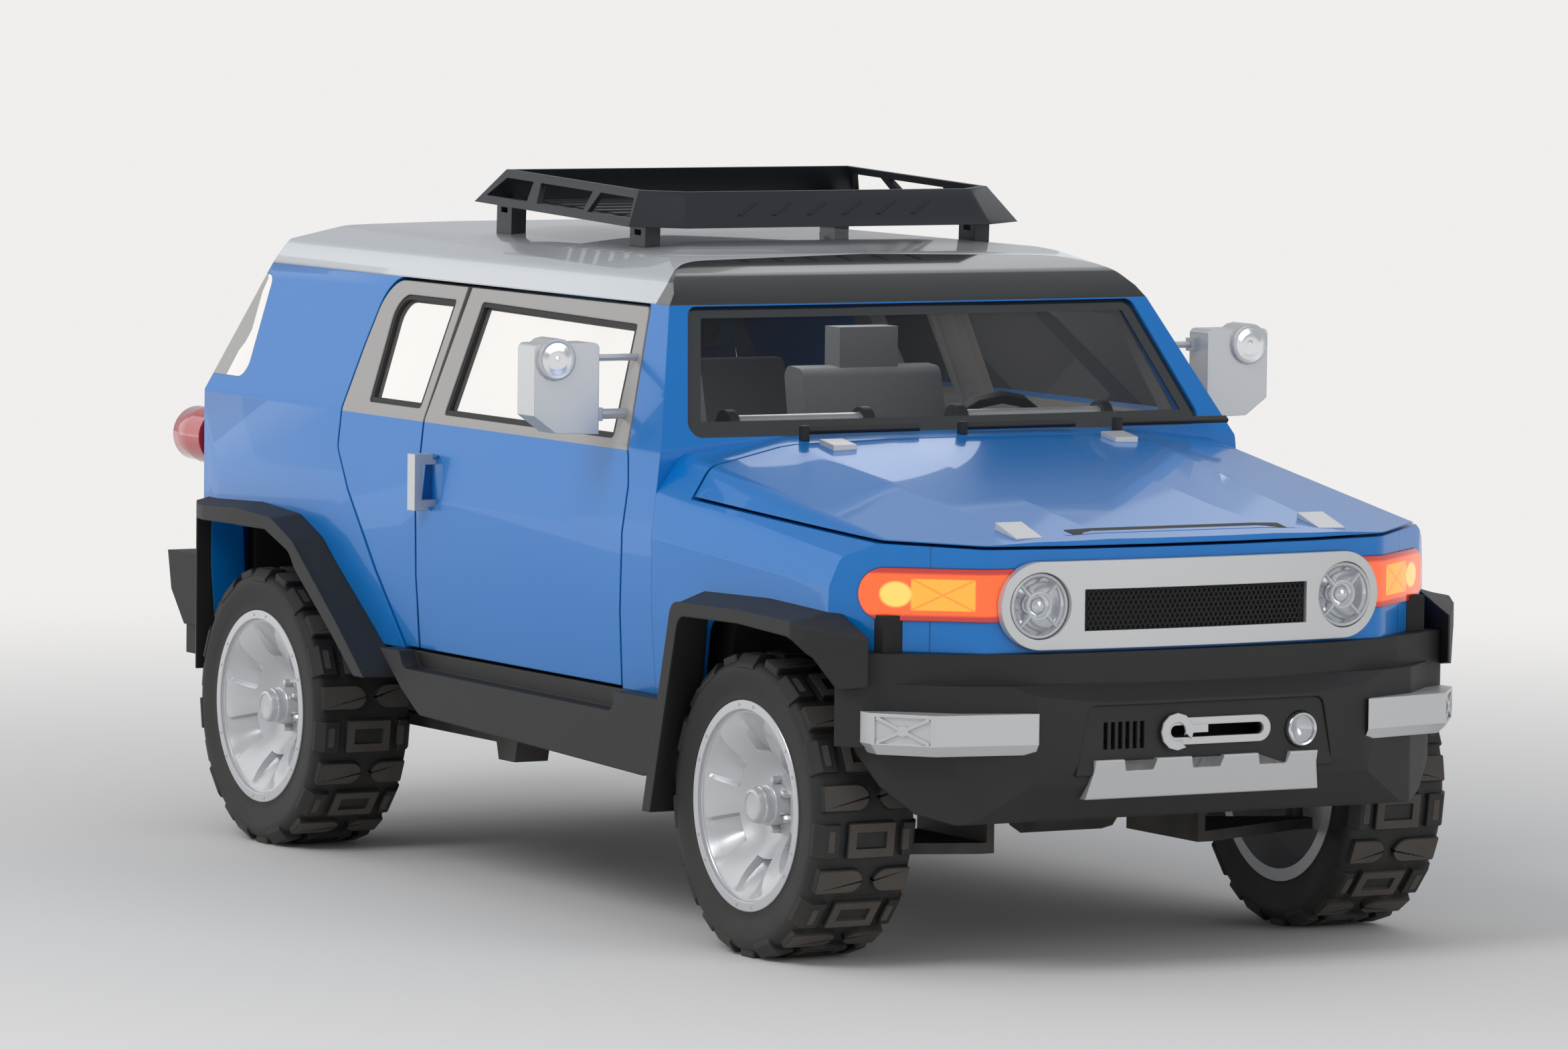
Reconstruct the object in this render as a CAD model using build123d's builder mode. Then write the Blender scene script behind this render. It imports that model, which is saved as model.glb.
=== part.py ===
# Lifted off-road 4x4, in millimetres.
# +X forward, +Y to the vehicle's left, +Z up, origin on the ground under the middle of its box.

import math
import os

from build123d import *

os.makedirs("parts", exist_ok=True)

# Overall stance
front_overhang = 685
wheelbase = 2690
rear_overhang = 825
overall_length = front_overhang + wheelbase + rear_overhang
body_half_width = 882
flare_reach = 83
bumper_reach = 60
front_end_x = overall_length / 2
nose_x = front_end_x - bumper_reach
front_axle_x = front_end_x - front_overhang
rear_axle_x = front_axle_x - wheelbase

# Heights
sill_z = 600
belt_z = 1215
gutter_z = 1568
roof_z = 1712
hood_front_z = 1054
cowl_z = 1251

# Wheels and tyres
tyre_radius = 377
tyre_width = 288
wheel_centre_y = 780
rim_radius = 263
rim_bead_radius = 244
wheel_face_y = 922
hub_radius = 58
spindle_radius = 22
spindle_gap = 0.4
kingpin_y = 700
wheel_pad_y = 10
seat_gap = 0.3
axle_z = tyre_radius

# Panels and shut lines
panel_gap = 8
door_depth = 100
frame_depth = 44
roof_thickness = 40
end_wall = 60
glass_thickness = 5
glass_inset = 16
spare_gap = 8
hood_skin = 16
cowl_x = front_axle_x - 555
rear_x = spare_gap + tyre_width - front_end_x
door_split_x = rear_axle_x + 845
front_door_hinge_x = front_axle_x - 725
rear_door_hinge_x = rear_axle_x + 370


def side_plane(y):
    # Drawing plane facing the right-hand side: local x runs forward, local y runs up.
    return Plane(origin=(0, y, 0), x_dir=(1, 0, 0), z_dir=(0, -1, 0))


def outline(plane, corners):
    # Closed outline of (u, v, corner radius) points on a plane.
    with BuildSketch(plane) as shape:
        with BuildLine():
            FilletPolyline(
                *[(u, v) for u, v, r in corners],
                radius=[r for u, v, r in corners],
                close=True,
            )
        make_face()
    return shape.sketch


def both_sides(half):
    # Mirrors a half outline, listed from its bottom to its top at +Y.
    return half + [(-u, v, r) for u, v, r in reversed(half)]


def plan_outline(corners):
    # Plan outlines run along +Y to their last corner and return along -Y.
    return corners + [(x, -y, r) for x, y, r in reversed(corners)]


def side_prism(corners, y_low, y_high):
    # Solid with a side-view outline, between two distances from the centre plane.
    with BuildPart(mode=Mode.PRIVATE) as prism:
        extrude(outline(side_plane(y_low), corners), amount=y_low - y_high)
    return prism.part


def plan_prism(corners, z_low, z_high):
    # Solid with a plan-view outline between two heights.
    with BuildPart(mode=Mode.PRIVATE) as prism:
        extrude(outline(Plane.XY.offset(z_low), corners), amount=z_high - z_low)
    return prism.part


def rear_prism(corners, x_low, x_high):
    # Solid with a rear-view outline between two stations.
    with BuildPart(mode=Mode.PRIVATE) as prism:
        extrude(outline(Plane.YZ.offset(x_low), corners), amount=x_high - x_low)
    return prism.part


def block(x_low, x_high, y_low, y_high, z_low, z_high):
    # Plain block between six limits.
    with BuildPart(mode=Mode.PRIVATE) as solid:
        with Locations(((x_low + x_high) / 2, (y_low + y_high) / 2, (z_low + z_high) / 2)):
            Box(x_high - x_low, y_high - y_low, z_high - z_low)
    return solid.part


def mirrored(solid):
    # Copy of a solid on the other side of the centre plane.
    with BuildPart(mode=Mode.PRIVATE) as copy:
        mirror(solid, about=Plane.XZ)
    return copy.part


def write_piece(part, name):
    # Labels a finished piece and writes its file.
    part.label = name
    export_step(part, "parts/" + name + ".step")


def write_pair(left_part, name):
    # Writes the left-hand piece and its mirror image as two nodes.
    write_piece(left_part, name + "_left")
    write_piece(mirrored(left_part), name + "_right")


# Cabin envelope: cross-section, side profile and plan, each as (u, v, corner radius)
gutter_half_width = body_half_width - 166
cabin_section = [
    (body_half_width - 18, sill_z, 0),
    (body_half_width - 3, sill_z + 200, 0),
    (body_half_width, 1000, 0),
    (body_half_width - 24, belt_z, 60),
    (gutter_half_width, gutter_z, 20),
    (gutter_half_width - 48, gutter_z + 64, 60),
    (gutter_half_width - 141, roof_z - 24, 90),
    (gutter_half_width - 416, roof_z, 400),
]
cabin_inner_section = [
    (body_half_width - 18 - door_depth, sill_z, 0),
    (body_half_width - door_depth, 1000, 0),
    (body_half_width - 24 - door_depth, belt_z - 12, 0),
    (body_half_width - 24 - frame_depth, belt_z, 0),
    (gutter_half_width - frame_depth, gutter_z - 6, 0),
    (gutter_half_width - 48 - frame_depth, gutter_z + 64 - roof_thickness, 0),
    (gutter_half_width - 141 - frame_depth, roof_z - 24 - roof_thickness, 0),
    (gutter_half_width - 416, roof_z - roof_thickness, 0),
]
cabin_profile = [
    (rear_x, sill_z, 0),
    (cowl_x, sill_z, 0),
    (cowl_x, cowl_z + 6, 0),
    (cowl_x - 208, gutter_z + 12, 50),
    (cowl_x - 300, roof_z - 70, 90),
    (cowl_x - 465, roof_z - 30, 200),
    (cowl_x - 680, roof_z - 6, 300),
    (cowl_x - 1160, roof_z + 2, 900),
    (rear_x + 700, roof_z - 8, 900),
    (rear_x + 380, roof_z - 32, 300),
    (rear_x + 178, roof_z - 80, 80),
    (rear_x + 106, gutter_z, 20),
    (rear_x, 1190, 60),
]
windscreen_run = -208 / (gutter_z - cowl_z + 6)
rear_slant = 106 / (gutter_z - 1190)
low_plan = [
    (cowl_x + 500, body_half_width + 13, 0),
    (rear_x + 305, body_half_width + 13, 0),
    (rear_x + 43, body_half_width - 20, 60),
    (rear_x, body_half_width - 182, 90),
]
high_plan = [
    (cowl_x + 500, body_half_width + 13, 0),
    (rear_x + 505, body_half_width + 13, 0),
    (rear_x + 235, body_half_width - 236, 60),
    (rear_x + 110, body_half_width - 502, 90),
]


def profile_face(wall):
    # Side profile of the cabin, drawn in by a wall all round.
    rounding = 1 if wall == 0 else 0
    with BuildSketch() as face:
        with BuildLine():
            FilletPolyline(
                *[(x, z) for x, z, r in cabin_profile],
                radius=[r * rounding for x, z, r in cabin_profile],
                close=True,
            )
        make_face()
        if wall > 0:
            offset(amount=-wall, kind=Kind.INTERSECTION)
            with Locations(((rear_x + cowl_x) / 2, sill_z + wall / 2)):
                Rectangle(cowl_x - rear_x - 2 * wall, wall + 20)
    return face.sketch


def cabin_solid(section, wall):
    # Cross-section, side profile and a plan that is rounder at the roof than at the belt.
    def drawn_in(corners):
        rounding = 1 if wall == 0 else 0
        return plan_outline(
            [(x + (wall if x < cowl_x else 0), y - wall * 0.7, r * rounding) for x, y, r in corners]
        )

    with BuildPart(mode=Mode.PRIVATE) as solid:
        extrude(outline(Plane.YZ.offset(rear_x - 100), both_sides(section)), amount=3500)
        with BuildSketch(Plane.XZ):
            add(profile_face(wall))
        extrude(amount=1200, both=True, mode=Mode.INTERSECT)
        extrude(
            outline(Plane.XY.offset(sill_z - 10), drawn_in(low_plan)),
            amount=roof_z - sill_z + 50,
            mode=Mode.INTERSECT,
        )
        with BuildPart(mode=Mode.PRIVATE) as upper:
            low_face = outline(Plane.XY.offset(belt_z), drawn_in(low_plan))
            high_face = outline(Plane.XY.offset(roof_z + 10), drawn_in(high_plan))
            loft([low_face, high_face], ruled=True)
            add(block(rear_x - 50, cowl_x + 500, -1100, 1100, sill_z - 20, belt_z))
        add(upper.part, mode=Mode.INTERSECT)
    return solid.part


# Windscreen sweep: a shallow arc in plan, carried up the slant of the glass
windscreen_bow = 24
sweep_half = 784
sweep_low_z = sill_z - 20
sweep_front_x = cowl_x + 6 + (sweep_low_z - cowl_z) * windscreen_run
sweep_rear_x = rear_x - 1700
with BuildPart() as windscreen_sweep:
    with BuildSketch(Plane.XY.offset(sweep_low_z)):
        with BuildLine():
            ThreePointArc(
                (sweep_front_x - windscreen_bow, -sweep_half),
                (sweep_front_x, 0),
                (sweep_front_x - windscreen_bow, sweep_half),
            )
            Polyline(
                (sweep_front_x - windscreen_bow, sweep_half),
                (sweep_front_x - windscreen_bow - 20, 1200),
                (sweep_rear_x, 1200),
                (sweep_rear_x, -1200),
                (sweep_front_x - windscreen_bow - 20, -1200),
                (sweep_front_x - windscreen_bow, -sweep_half),
            )
        make_face()
    extrude(amount=1800, dir=(windscreen_run, 0, 1))


def behind_screen(distance):
    # Everything behind a surface parallel to the windscreen.
    return windscreen_sweep.part.moved(Location((-distance, 0, 0)))


with BuildPart() as cabin_outer:
    add(cabin_solid(cabin_section, 0))
    add(windscreen_sweep.part, mode=Mode.INTERSECT)
with BuildPart() as cabin_inner:
    add(cabin_solid(cabin_inner_section, end_wall))
    add(behind_screen(40), mode=Mode.INTERSECT)

# Nose envelope: lofted section, rounded in plan
nose_rear_section = [
    (body_half_width - 18, sill_z, 0),
    (body_half_width - 3, sill_z + 200, 0),
    (body_half_width, 1000, 40),
    (body_half_width - 12, cowl_z - 139, 40),
    (body_half_width - 82, cowl_z - 43, 60),
    (body_half_width - 362, cowl_z - 7, 0),
    (240, cowl_z, 60),
]
nose_front_section = [
    (body_half_width - 26, sill_z, 0),
    (body_half_width - 14, sill_z + 200, 0),
    (body_half_width - 20, hood_front_z - 129, 40),
    (body_half_width - 42, hood_front_z - 69, 40),
    (body_half_width - 112, hood_front_z - 28, 60),
    (body_half_width - 452, hood_front_z - 6, 0),
    (240, hood_front_z, 60),
]
nose_plan = [
    (cowl_x, body_half_width + 18, 0),
    (nose_x - 350, body_half_width + 18, 60),
    (nose_x - 240, body_half_width - 70, 60),
    (nose_x - 55, body_half_width - 307, 80),
    (nose_x - 28, body_half_width - 532, 150),
    (nose_x - 18, 120, 200),
]


def nose_solid(drop, side_inset, front_inset):
    # Nose envelope, lowered by drop and drawn in at the sides and the front.
    # The drawn-in copy keeps plain corners, because it only bounds the inside of the skin.
    rounding = 1 if side_inset == 0 else 0

    def drawn_in(section):
        return both_sides(
            [(u - side_inset, v - (drop if v > sill_z else 0), r * rounding) for u, v, r in section]
        )

    front_plan = [
        (x - (front_inset if x > cowl_x else 0), y - side_inset * 0.7, r * rounding)
        for x, y, r in nose_plan
    ]
    with BuildPart(mode=Mode.PRIVATE) as solid:
        rear_face = outline(Plane.YZ.offset(cowl_x), drawn_in(nose_rear_section))
        front_face = outline(Plane.YZ.offset(nose_x + 40), drawn_in(nose_front_section))
        loft([rear_face, front_face], ruled=True)
        plan_face = outline(Plane.XY.offset(sill_z - 10), plan_outline(front_plan))
        extrude(plan_face, amount=cowl_z - sill_z + 150, mode=Mode.INTERSECT)
    return solid.part


nose_outer = nose_solid(0, 0, 0)
nose_inner = nose_solid(hood_skin, hood_skin, hood_skin + 6)

# Hood zone: above the side seam and ahead of the cowl, with slanted rear corners
seam_rear_z = cowl_z - 135
seam_front_z = hood_front_z - 24
hood_rear_x = cowl_x + 86
hood_corner_y = body_half_width - 322
hood_plan = [
    (hood_rear_x, hood_corner_y, 0),
    (hood_rear_x + 94, body_half_width + 23, 0),
    (front_end_x + 100, body_half_width + 23, 0),
]
hood_margin_plan = [
    (hood_rear_x - panel_gap, hood_corner_y, 0),
    (hood_rear_x + 94 - panel_gap, body_half_width + 23 + panel_gap, 0),
    (front_end_x + 100, body_half_width + 23 + panel_gap, 0),
]


def above_seam(lift):
    # Everything above the seam, which falls gently towards the front.
    seam_end_x = front_end_x + 100
    return side_prism(
        [
            (cowl_x, seam_rear_z + lift, 0),
            (seam_end_x, seam_front_z + lift, 0),
            (seam_end_x, cowl_z + 250, 0),
            (cowl_x, cowl_z + 250, 0),
        ],
        -1100,
        1100,
    )


# Scoop: the raised middle of the hood ends in a forward-facing slot
scoop_half_width = 335
scoop_x = nose_x - 150
scoop_cut = side_prism(
    [
        (scoop_x, cowl_z - 51, 0),
        (scoop_x + 70, hood_front_z + 10, 0),
        (scoop_x + 78, cowl_z - 51, 0),
    ],
    -scoop_half_width,
    scoop_half_width,
)
with BuildPart() as hood:
    add(nose_outer)
    add(nose_inner, mode=Mode.SUBTRACT)
    add(above_seam(panel_gap), mode=Mode.INTERSECT)
    add(plan_prism(plan_outline(hood_plan), 900, 1500), mode=Mode.INTERSECT)
    add(scoop_cut, mode=Mode.SUBTRACT)
write_piece(hood.part, "hood")

# Wheel arches in side view, measured from each axle
front_arch = [
    (front_axle_x - 457, 200, 0),
    (front_axle_x - 272, axle_z + 445, 60),
    (front_axle_x + 99, axle_z + 468, 0),
    (front_axle_x + 363, axle_z + 441, 60),
    (front_axle_x + 470, axle_z + 323, 0),
    (front_axle_x + 470, 200, 0),
]
rear_leg_x = rear_axle_x - tyre_radius - 14
rear_arch = [
    (rear_leg_x, 300, 0),
    (rear_leg_x, axle_z + 491, 30),
    (rear_axle_x + 120, axle_z + 495, 0),
    (rear_axle_x + 265, axle_z + 445, 60),
    (rear_axle_x + 480, axle_z + 183, 0),
    (rear_axle_x + 600, 300, 0),
]
wheel_room = 36
tyre_inner_y = wheel_centre_y - tyre_width / 2
rear_house_y = tyre_inner_y - wheel_room
arch_inner_y = 430
front_wheel_house = side_prism(front_arch, arch_inner_y, 1100)
rear_wheel_house = side_prism(rear_arch, rear_house_y, 1100)

# Space swept by a steered front tyre about its kingpin, with a running clearance
steer_clearance = 10
steer_profile = [
    (0, 150),
    (427 + steer_clearance, 150),
    (427 + steer_clearance, axle_z + 50),
    (416 + steer_clearance, axle_z + 100),
    (385 + steer_clearance, axle_z + 185),
    (337 + steer_clearance, axle_z + 263),
    (280 + steer_clearance, axle_z + 323),
    (230 + steer_clearance, axle_z + 360),
    (194 + steer_clearance, tyre_radius * 2 + steer_clearance + 2),
    (0, tyre_radius * 2 + steer_clearance + 2),
]
with BuildPart() as steered_space:
    with BuildSketch(Plane.XZ):
        with BuildLine():
            Polyline(*steer_profile, close=True)
        make_face()
    revolve(axis=Axis.Z)
steered_tyre = steered_space.part.moved(Location((front_axle_x, kingpin_y, 0)))

# Door outlines in side view; the rear edge of the rear door slants forward over the wheel
door_bottom_z = sill_z + 8
door_top_z = gutter_z - 7
split_half_gap = panel_gap / 2
split_lean = 15
arch_door_x = rear_axle_x + 770
front_door_outline = [
    (door_split_x + split_half_gap, door_bottom_z, 0),
    (front_door_hinge_x - 12, door_bottom_z, 0),
    (front_door_hinge_x + 18, belt_z - 95, 20),
    (front_door_hinge_x + 2, belt_z - 25, 20),
    (front_door_hinge_x - 148, door_top_z, 20),
    (door_split_x + split_half_gap, door_top_z, 0),
    (door_split_x + split_half_gap, belt_z, 0),
]
rear_door_outline = [
    (door_split_x - split_half_gap, door_bottom_z, 0),
    (door_split_x - split_half_gap, belt_z, 0),
    (door_split_x - split_half_gap - split_lean, door_top_z, 0),
    (rear_door_hinge_x + 12, door_top_z, 90),
    (rear_door_hinge_x, belt_z + 165, 0),
    (rear_door_hinge_x, belt_z - 105, 40),
    (arch_door_x, door_bottom_z, 0),
]
door_opening_outline = [
    (arch_door_x - 14, door_bottom_z - panel_gap, 0),
    (front_door_hinge_x - 12 + panel_gap, door_bottom_z - panel_gap, 0),
    (front_door_hinge_x + 18 + panel_gap, belt_z - 95, 20),
    (front_door_hinge_x + 2 + panel_gap, belt_z - 23, 20),
    (front_door_hinge_x - 143, door_top_z + panel_gap + 1, 20),
    (rear_door_hinge_x + 6, door_top_z + panel_gap + 1, 90),
    (rear_door_hinge_x - panel_gap, belt_z + 165, 0),
    (rear_door_hinge_x - panel_gap, belt_z - 105, 40),
]
front_window_outline = [
    (door_split_x + 99, belt_z + 17, 12),
    (front_door_hinge_x - 90, belt_z + 17, 12),
    (front_door_hinge_x - 176, gutter_z - 52, 12),
    (door_split_x + 88, gutter_z - 40, 12),
]
rear_window_outline = [
    (rear_door_hinge_x + 135, belt_z + 25, 12),
    (door_split_x - 40, belt_z + 25, 12),
    (door_split_x - 56, gutter_z - 42, 12),
    (rear_door_hinge_x + 83, gutter_z - 42, 60),
]
cabin_reach = body_half_width + 120
door_inner_y = body_half_width - 242
door_openings = side_prism(door_opening_outline, door_inner_y, cabin_reach)

# Tailgate in rear view, hinged at its right side; the free side leans a little more
tailgate_half_low = 640
tailgate_half_high = 596
tailgate_low_z = sill_z + 40
tailgate_high_z = gutter_z + 34


def tailgate_outline(margin, free_margin):
    return [
        (-tailgate_half_low - margin, tailgate_low_z - margin, 50),
        (tailgate_half_low + margin, tailgate_low_z - margin, 50),
        (tailgate_half_low + margin, belt_z - 25, 0),
        (tailgate_half_high + free_margin, tailgate_high_z + margin, 50),
        (-tailgate_half_high - margin, tailgate_high_z + margin, 50),
        (-tailgate_half_low - margin, belt_z - 25, 0),
    ]


tailgate_zone = rear_prism(tailgate_outline(0, 0), rear_x - 200, rear_x + 300)
tailgate_opening = rear_prism(
    tailgate_outline(panel_gap, panel_gap + 8), rear_x - 200, rear_x + 300
)

# Windscreen and rear quarter openings
screen_outline = [
    (body_half_width - 110, cowl_z - 5, 30),
    (gutter_half_width - 52, gutter_z - 2, 30),
]
windscreen_opening = rear_prism(both_sides(screen_outline), cowl_x - 360, cowl_x + 140)
quarter_outline = [
    (rear_x + 275, belt_z + 45, 40),
    (rear_x - 100, belt_z + 45, 0),
    (rear_x - 100, gutter_z - 30, 0),
    (rear_x + 222, gutter_z - 30, 30),
]
quarter_inner_y = tailgate_half_low + 42


def quarter_zone(margin):
    # Space of the left quarter window, drawn in by a margin.
    return side_prism(
        [
            (quarter_outline[0][0] - margin, quarter_outline[0][1] + margin, quarter_outline[0][2]),
            (quarter_outline[1][0] + margin, quarter_outline[1][1] + margin, 0),
            (quarter_outline[2][0] + margin, quarter_outline[2][1] - margin, 0),
            (quarter_outline[3][0] - margin, quarter_outline[3][1] - margin, quarter_outline[3][2]),
        ],
        quarter_inner_y + margin,
        cabin_reach,
    )


# Body sides, less the openings: doors, windscreen, quarter windows, tailgate, wheels and roof
roof_edge_z = door_top_z + panel_gap + 1
above_roof_edge = block(rear_x - 200, cowl_x + 200, -1100, 1100, roof_edge_z, roof_z + 100)
with BuildPart() as body_shell:
    add(cabin_outer.part)
    add(cabin_inner.part, mode=Mode.SUBTRACT)
    add(above_roof_edge, mode=Mode.SUBTRACT)
    add(tailgate_opening, mode=Mode.SUBTRACT)
    add(windscreen_opening, mode=Mode.SUBTRACT)
    for side_cut in (door_openings, quarter_zone(0), rear_wheel_house):
        add(side_cut, mode=Mode.SUBTRACT)
        add(mirrored(side_cut), mode=Mode.SUBTRACT)
write_piece(body_shell.part, "body_shell")

# Roof cap with the dark header across the front
header_plan = [
    (cowl_x + 340, gutter_half_width + 44, 0),
    (cowl_x - 285, gutter_half_width + 44, 0),
    (cowl_x - 300, gutter_half_width - 44, 30),
    (cowl_x - 420, gutter_half_width - 156, 160),
    (cowl_x - 460, 0.5, 0),
]
header_zone = plan_prism(plan_outline(header_plan), gutter_z - 168, roof_z + 88)
with BuildPart() as roof_cap:
    add(cabin_outer.part)
    add(cabin_inner.part, mode=Mode.SUBTRACT)
    add(above_roof_edge, mode=Mode.INTERSECT)
    add(tailgate_opening, mode=Mode.SUBTRACT)
    add(door_openings, mode=Mode.SUBTRACT)
    add(mirrored(door_openings), mode=Mode.SUBTRACT)
with BuildPart() as windscreen_header:
    add(roof_cap.part)
    add(header_zone, mode=Mode.INTERSECT)
with BuildPart() as roof:
    add(roof_cap.part)
    add(header_zone, mode=Mode.SUBTRACT)
write_piece(roof.part, "roof")
write_piece(windscreen_header.part, "windscreen_header")

# Doors: the front edge of the rear door is set back inwards, to clear the front door's swing
bevel_low_y = body_half_width - 382
bevel_slope = 0.34
bevel_stations = [
    (sill_z - 10, body_half_width - 16, 2),
    (1000, body_half_width + 2, 0),
    (belt_z - 10, body_half_width - 22, 0),
    (gutter_z, gutter_half_width + 2, split_lean),
]
with BuildPart() as rear_bevel:
    bevel_faces = []
    for station_z, skin_y, setback in bevel_stations:
        edge_x = door_split_x - split_half_gap - setback
        bevel_faces.append(
            outline(
                Plane.XY.offset(station_z),
                [
                    (door_split_x + 60, skin_y, 0),
                    (door_split_x + 60, bevel_low_y, 0),
                    (edge_x - bevel_slope * (skin_y - bevel_low_y), bevel_low_y, 0),
                    (edge_x, skin_y, 0),
                ],
            )
        )
    loft(bevel_faces, ruled=True)

# Upright grip on the front door, over a sunk finger pocket
handle_x = door_split_x + 30
handle_low_z = 978
handle_high_z = 1128
handle_pocket = side_prism(
    [
        (handle_x + 6, handle_low_z + 26, 0),
        (handle_x + 60, handle_low_z, 0),
        (handle_x + 112, handle_low_z + 34, 0),
        (handle_x + 112, handle_high_z - 30, 0),
        (handle_x + 74, handle_high_z - 2, 0),
        (handle_x + 6, handle_high_z - 26, 0),
    ],
    body_half_width - 24,
    cabin_reach,
)


def door_solid(door_outline, window_outline, cuts):
    # Left-hand door cut from the wall of the cabin, with its window opening.
    with BuildPart(mode=Mode.PRIVATE) as door:
        add(cabin_outer.part)
        add(cabin_inner.part, mode=Mode.SUBTRACT)
        add(side_prism(door_outline, door_inner_y, cabin_reach), mode=Mode.INTERSECT)
        add(side_prism(window_outline, 500, cabin_reach), mode=Mode.SUBTRACT)
        for cut in cuts:
            add(cut, mode=Mode.SUBTRACT)
    return door.part


def glass_solid(window_outline):
    # Flat pane set into the slanted frame above the belt.
    run = (body_half_width - 24 - gutter_half_width) / (gutter_z - belt_z)
    low_y = body_half_width - 24 - glass_inset
    high_y = gutter_half_width - glass_inset - run * 20
    with BuildPart(mode=Mode.PRIVATE) as glass:
        with BuildSketch(Plane.YZ.offset(rear_x)):
            with BuildLine():
                Polyline(
                    (low_y, belt_z),
                    (high_y, gutter_z + 20),
                    (high_y - glass_thickness, gutter_z + 20),
                    (low_y - glass_thickness, belt_z),
                    close=True,
                )
            make_face()
        extrude(amount=front_end_x - rear_x)
        add(side_prism(window_outline, 500, cabin_reach), mode=Mode.INTERSECT)
    return glass.part


front_door_solid = door_solid(front_door_outline, front_window_outline, [handle_pocket])
rear_door_solid = door_solid(rear_door_outline, rear_window_outline, [rear_bevel.part])
write_pair(front_door_solid, "front_door")
write_pair(rear_door_solid, "rear_door")
write_pair(glass_solid(front_window_outline), "front_door_glass")
write_pair(glass_solid(rear_window_outline), "rear_door_glass")

# Fixed glass: the windscreen, and quarter panes that follow the corner of the body
with BuildPart() as windscreen_glass:
    add(behind_screen(12))
    add(behind_screen(18), mode=Mode.SUBTRACT)
    add(windscreen_opening, mode=Mode.INTERSECT)
quarter_wall = 7
thin_section = [(u - quarter_wall, v - (quarter_wall if v > gutter_z else 0), r) for u, v, r in cabin_section]
with BuildPart() as quarter_glass:
    add(cabin_outer.part)
    add(cabin_solid(thin_section, quarter_wall), mode=Mode.SUBTRACT)
    add(quarter_zone(seat_gap), mode=Mode.INTERSECT)
    mirror(about=Plane.XZ)
with BuildPart() as fixed_glass:
    add(windscreen_glass.part)
    add(quarter_glass.part)
write_piece(fixed_glass.part, "fixed_glass")

rear_window_corners = [
    (470, belt_z + 7, 50),
    (440, gutter_z - 38, 70),
]
rear_window_cut = rear_prism(both_sides(rear_window_corners), rear_x - 200, rear_x + 300)
with BuildPart() as tailgate_glass:
    with BuildSketch(Plane.XZ):
        with BuildLine():
            Polyline(
                (rear_x + 14, 1190),
                (rear_x + 14 + rear_slant * 400, 1590),
                (rear_x + 20 + rear_slant * 400, 1590),
                (rear_x + 20, 1190),
                close=True,
            )
        make_face()
    extrude(amount=tailgate_half_low, both=True)
    add(rear_window_cut, mode=Mode.INTERSECT)
write_piece(tailgate_glass.part, "tailgate_glass")

# Tailgate with the spare wheel's carrier
spare_z = 1000
carrier_radius = 80
carrier_flats = 12
carrier_length = spare_gap + tyre_width / 2 + wheel_pad_y - seat_gap
with BuildPart() as tailgate:
    add(cabin_outer.part)
    add(cabin_inner.part, mode=Mode.SUBTRACT)
    add(tailgate_zone, mode=Mode.INTERSECT)
    add(rear_window_cut, mode=Mode.SUBTRACT)
    bevel_x = rear_x + end_wall + 100
    free_bevel = [
        (rear_x - 10, tailgate_half_low + 20, 0),
        (rear_x, tailgate_half_low, 0),
        (bevel_x, tailgate_half_low - 24, 0),
        (bevel_x, tailgate_half_low + 20, 0),
    ]
    add(plan_prism(free_bevel, sill_z - 100, roof_z), mode=Mode.SUBTRACT)
    with BuildSketch(Plane(origin=(rear_x + 1, 0, spare_z), x_dir=(0, 1, 0), z_dir=(-1, 0, 0))):
        RegularPolygon(carrier_radius, carrier_flats, major_radius=False)
    extrude(amount=carrier_length + 1)
write_piece(tailgate.part, "tailgate")

# Grille and lamp places on the nose
nose_bottom_z = 790
nose_split_x = nose_x - 140
grille_centre_z = 906
grille_half_width = 547
grille_half_height = 108
lamp_y = 441
lamp_radius = 82

# Turn lamps: pill-shaped lenses wrapped round the corner of the nose
turn_lamp_z = 932
turn_lamp_half_height = 64
turn_lamp_inner = (nose_x - 55, grille_half_width + 14)
turn_lamp_outer = (nose_x - 251, body_half_width - 63)
turn_run = (turn_lamp_outer[0] - turn_lamp_inner[0], turn_lamp_outer[1] - turn_lamp_inner[1])
turn_length = math.hypot(*turn_run)
turn_plane = Plane(
    origin=(turn_lamp_inner[0], turn_lamp_inner[1], turn_lamp_z),
    x_dir=(turn_run[0] / turn_length, turn_run[1] / turn_length, 0),
    z_dir=(turn_run[1] / turn_length, -turn_run[0] / turn_length, 0),
)


def turn_zone(margin):
    # Space taken by the left turn lamp, with a margin all round.
    height = turn_lamp_half_height + margin
    with BuildPart(mode=Mode.PRIVATE) as zone:
        with BuildSketch(turn_plane):
            with BuildLine():
                Polyline((turn_length - height, -height), (-60, -height), (-60, height))
                Line((-60, height), (turn_length - height, height))
                ThreePointArc(
                    (turn_length - height, height),
                    (turn_length + margin, 0),
                    (turn_length - height, -height),
                )
            make_face()
        extrude(amount=130, both=True)
    return zone.part


with BuildPart() as grille_slot:
    with BuildSketch(Plane.YZ.offset(nose_split_x)):
        with Locations((0, grille_centre_z)):
            SlotOverall(2 * (grille_half_width + seat_gap), 2 * (grille_half_height + seat_gap))
    extrude(amount=300)
with BuildPart() as turn_lamps:
    add(nose_solid(-4, -4, -4))
    add(nose_solid(hood_skin + 20, hood_skin + 26, hood_skin + 26), mode=Mode.SUBTRACT)
    add(turn_zone(0), mode=Mode.INTERSECT)
    add(grille_slot.part, mode=Mode.SUBTRACT)
    mirror(about=Plane.XZ)
write_piece(turn_lamps.part, "turn_lamps")

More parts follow.
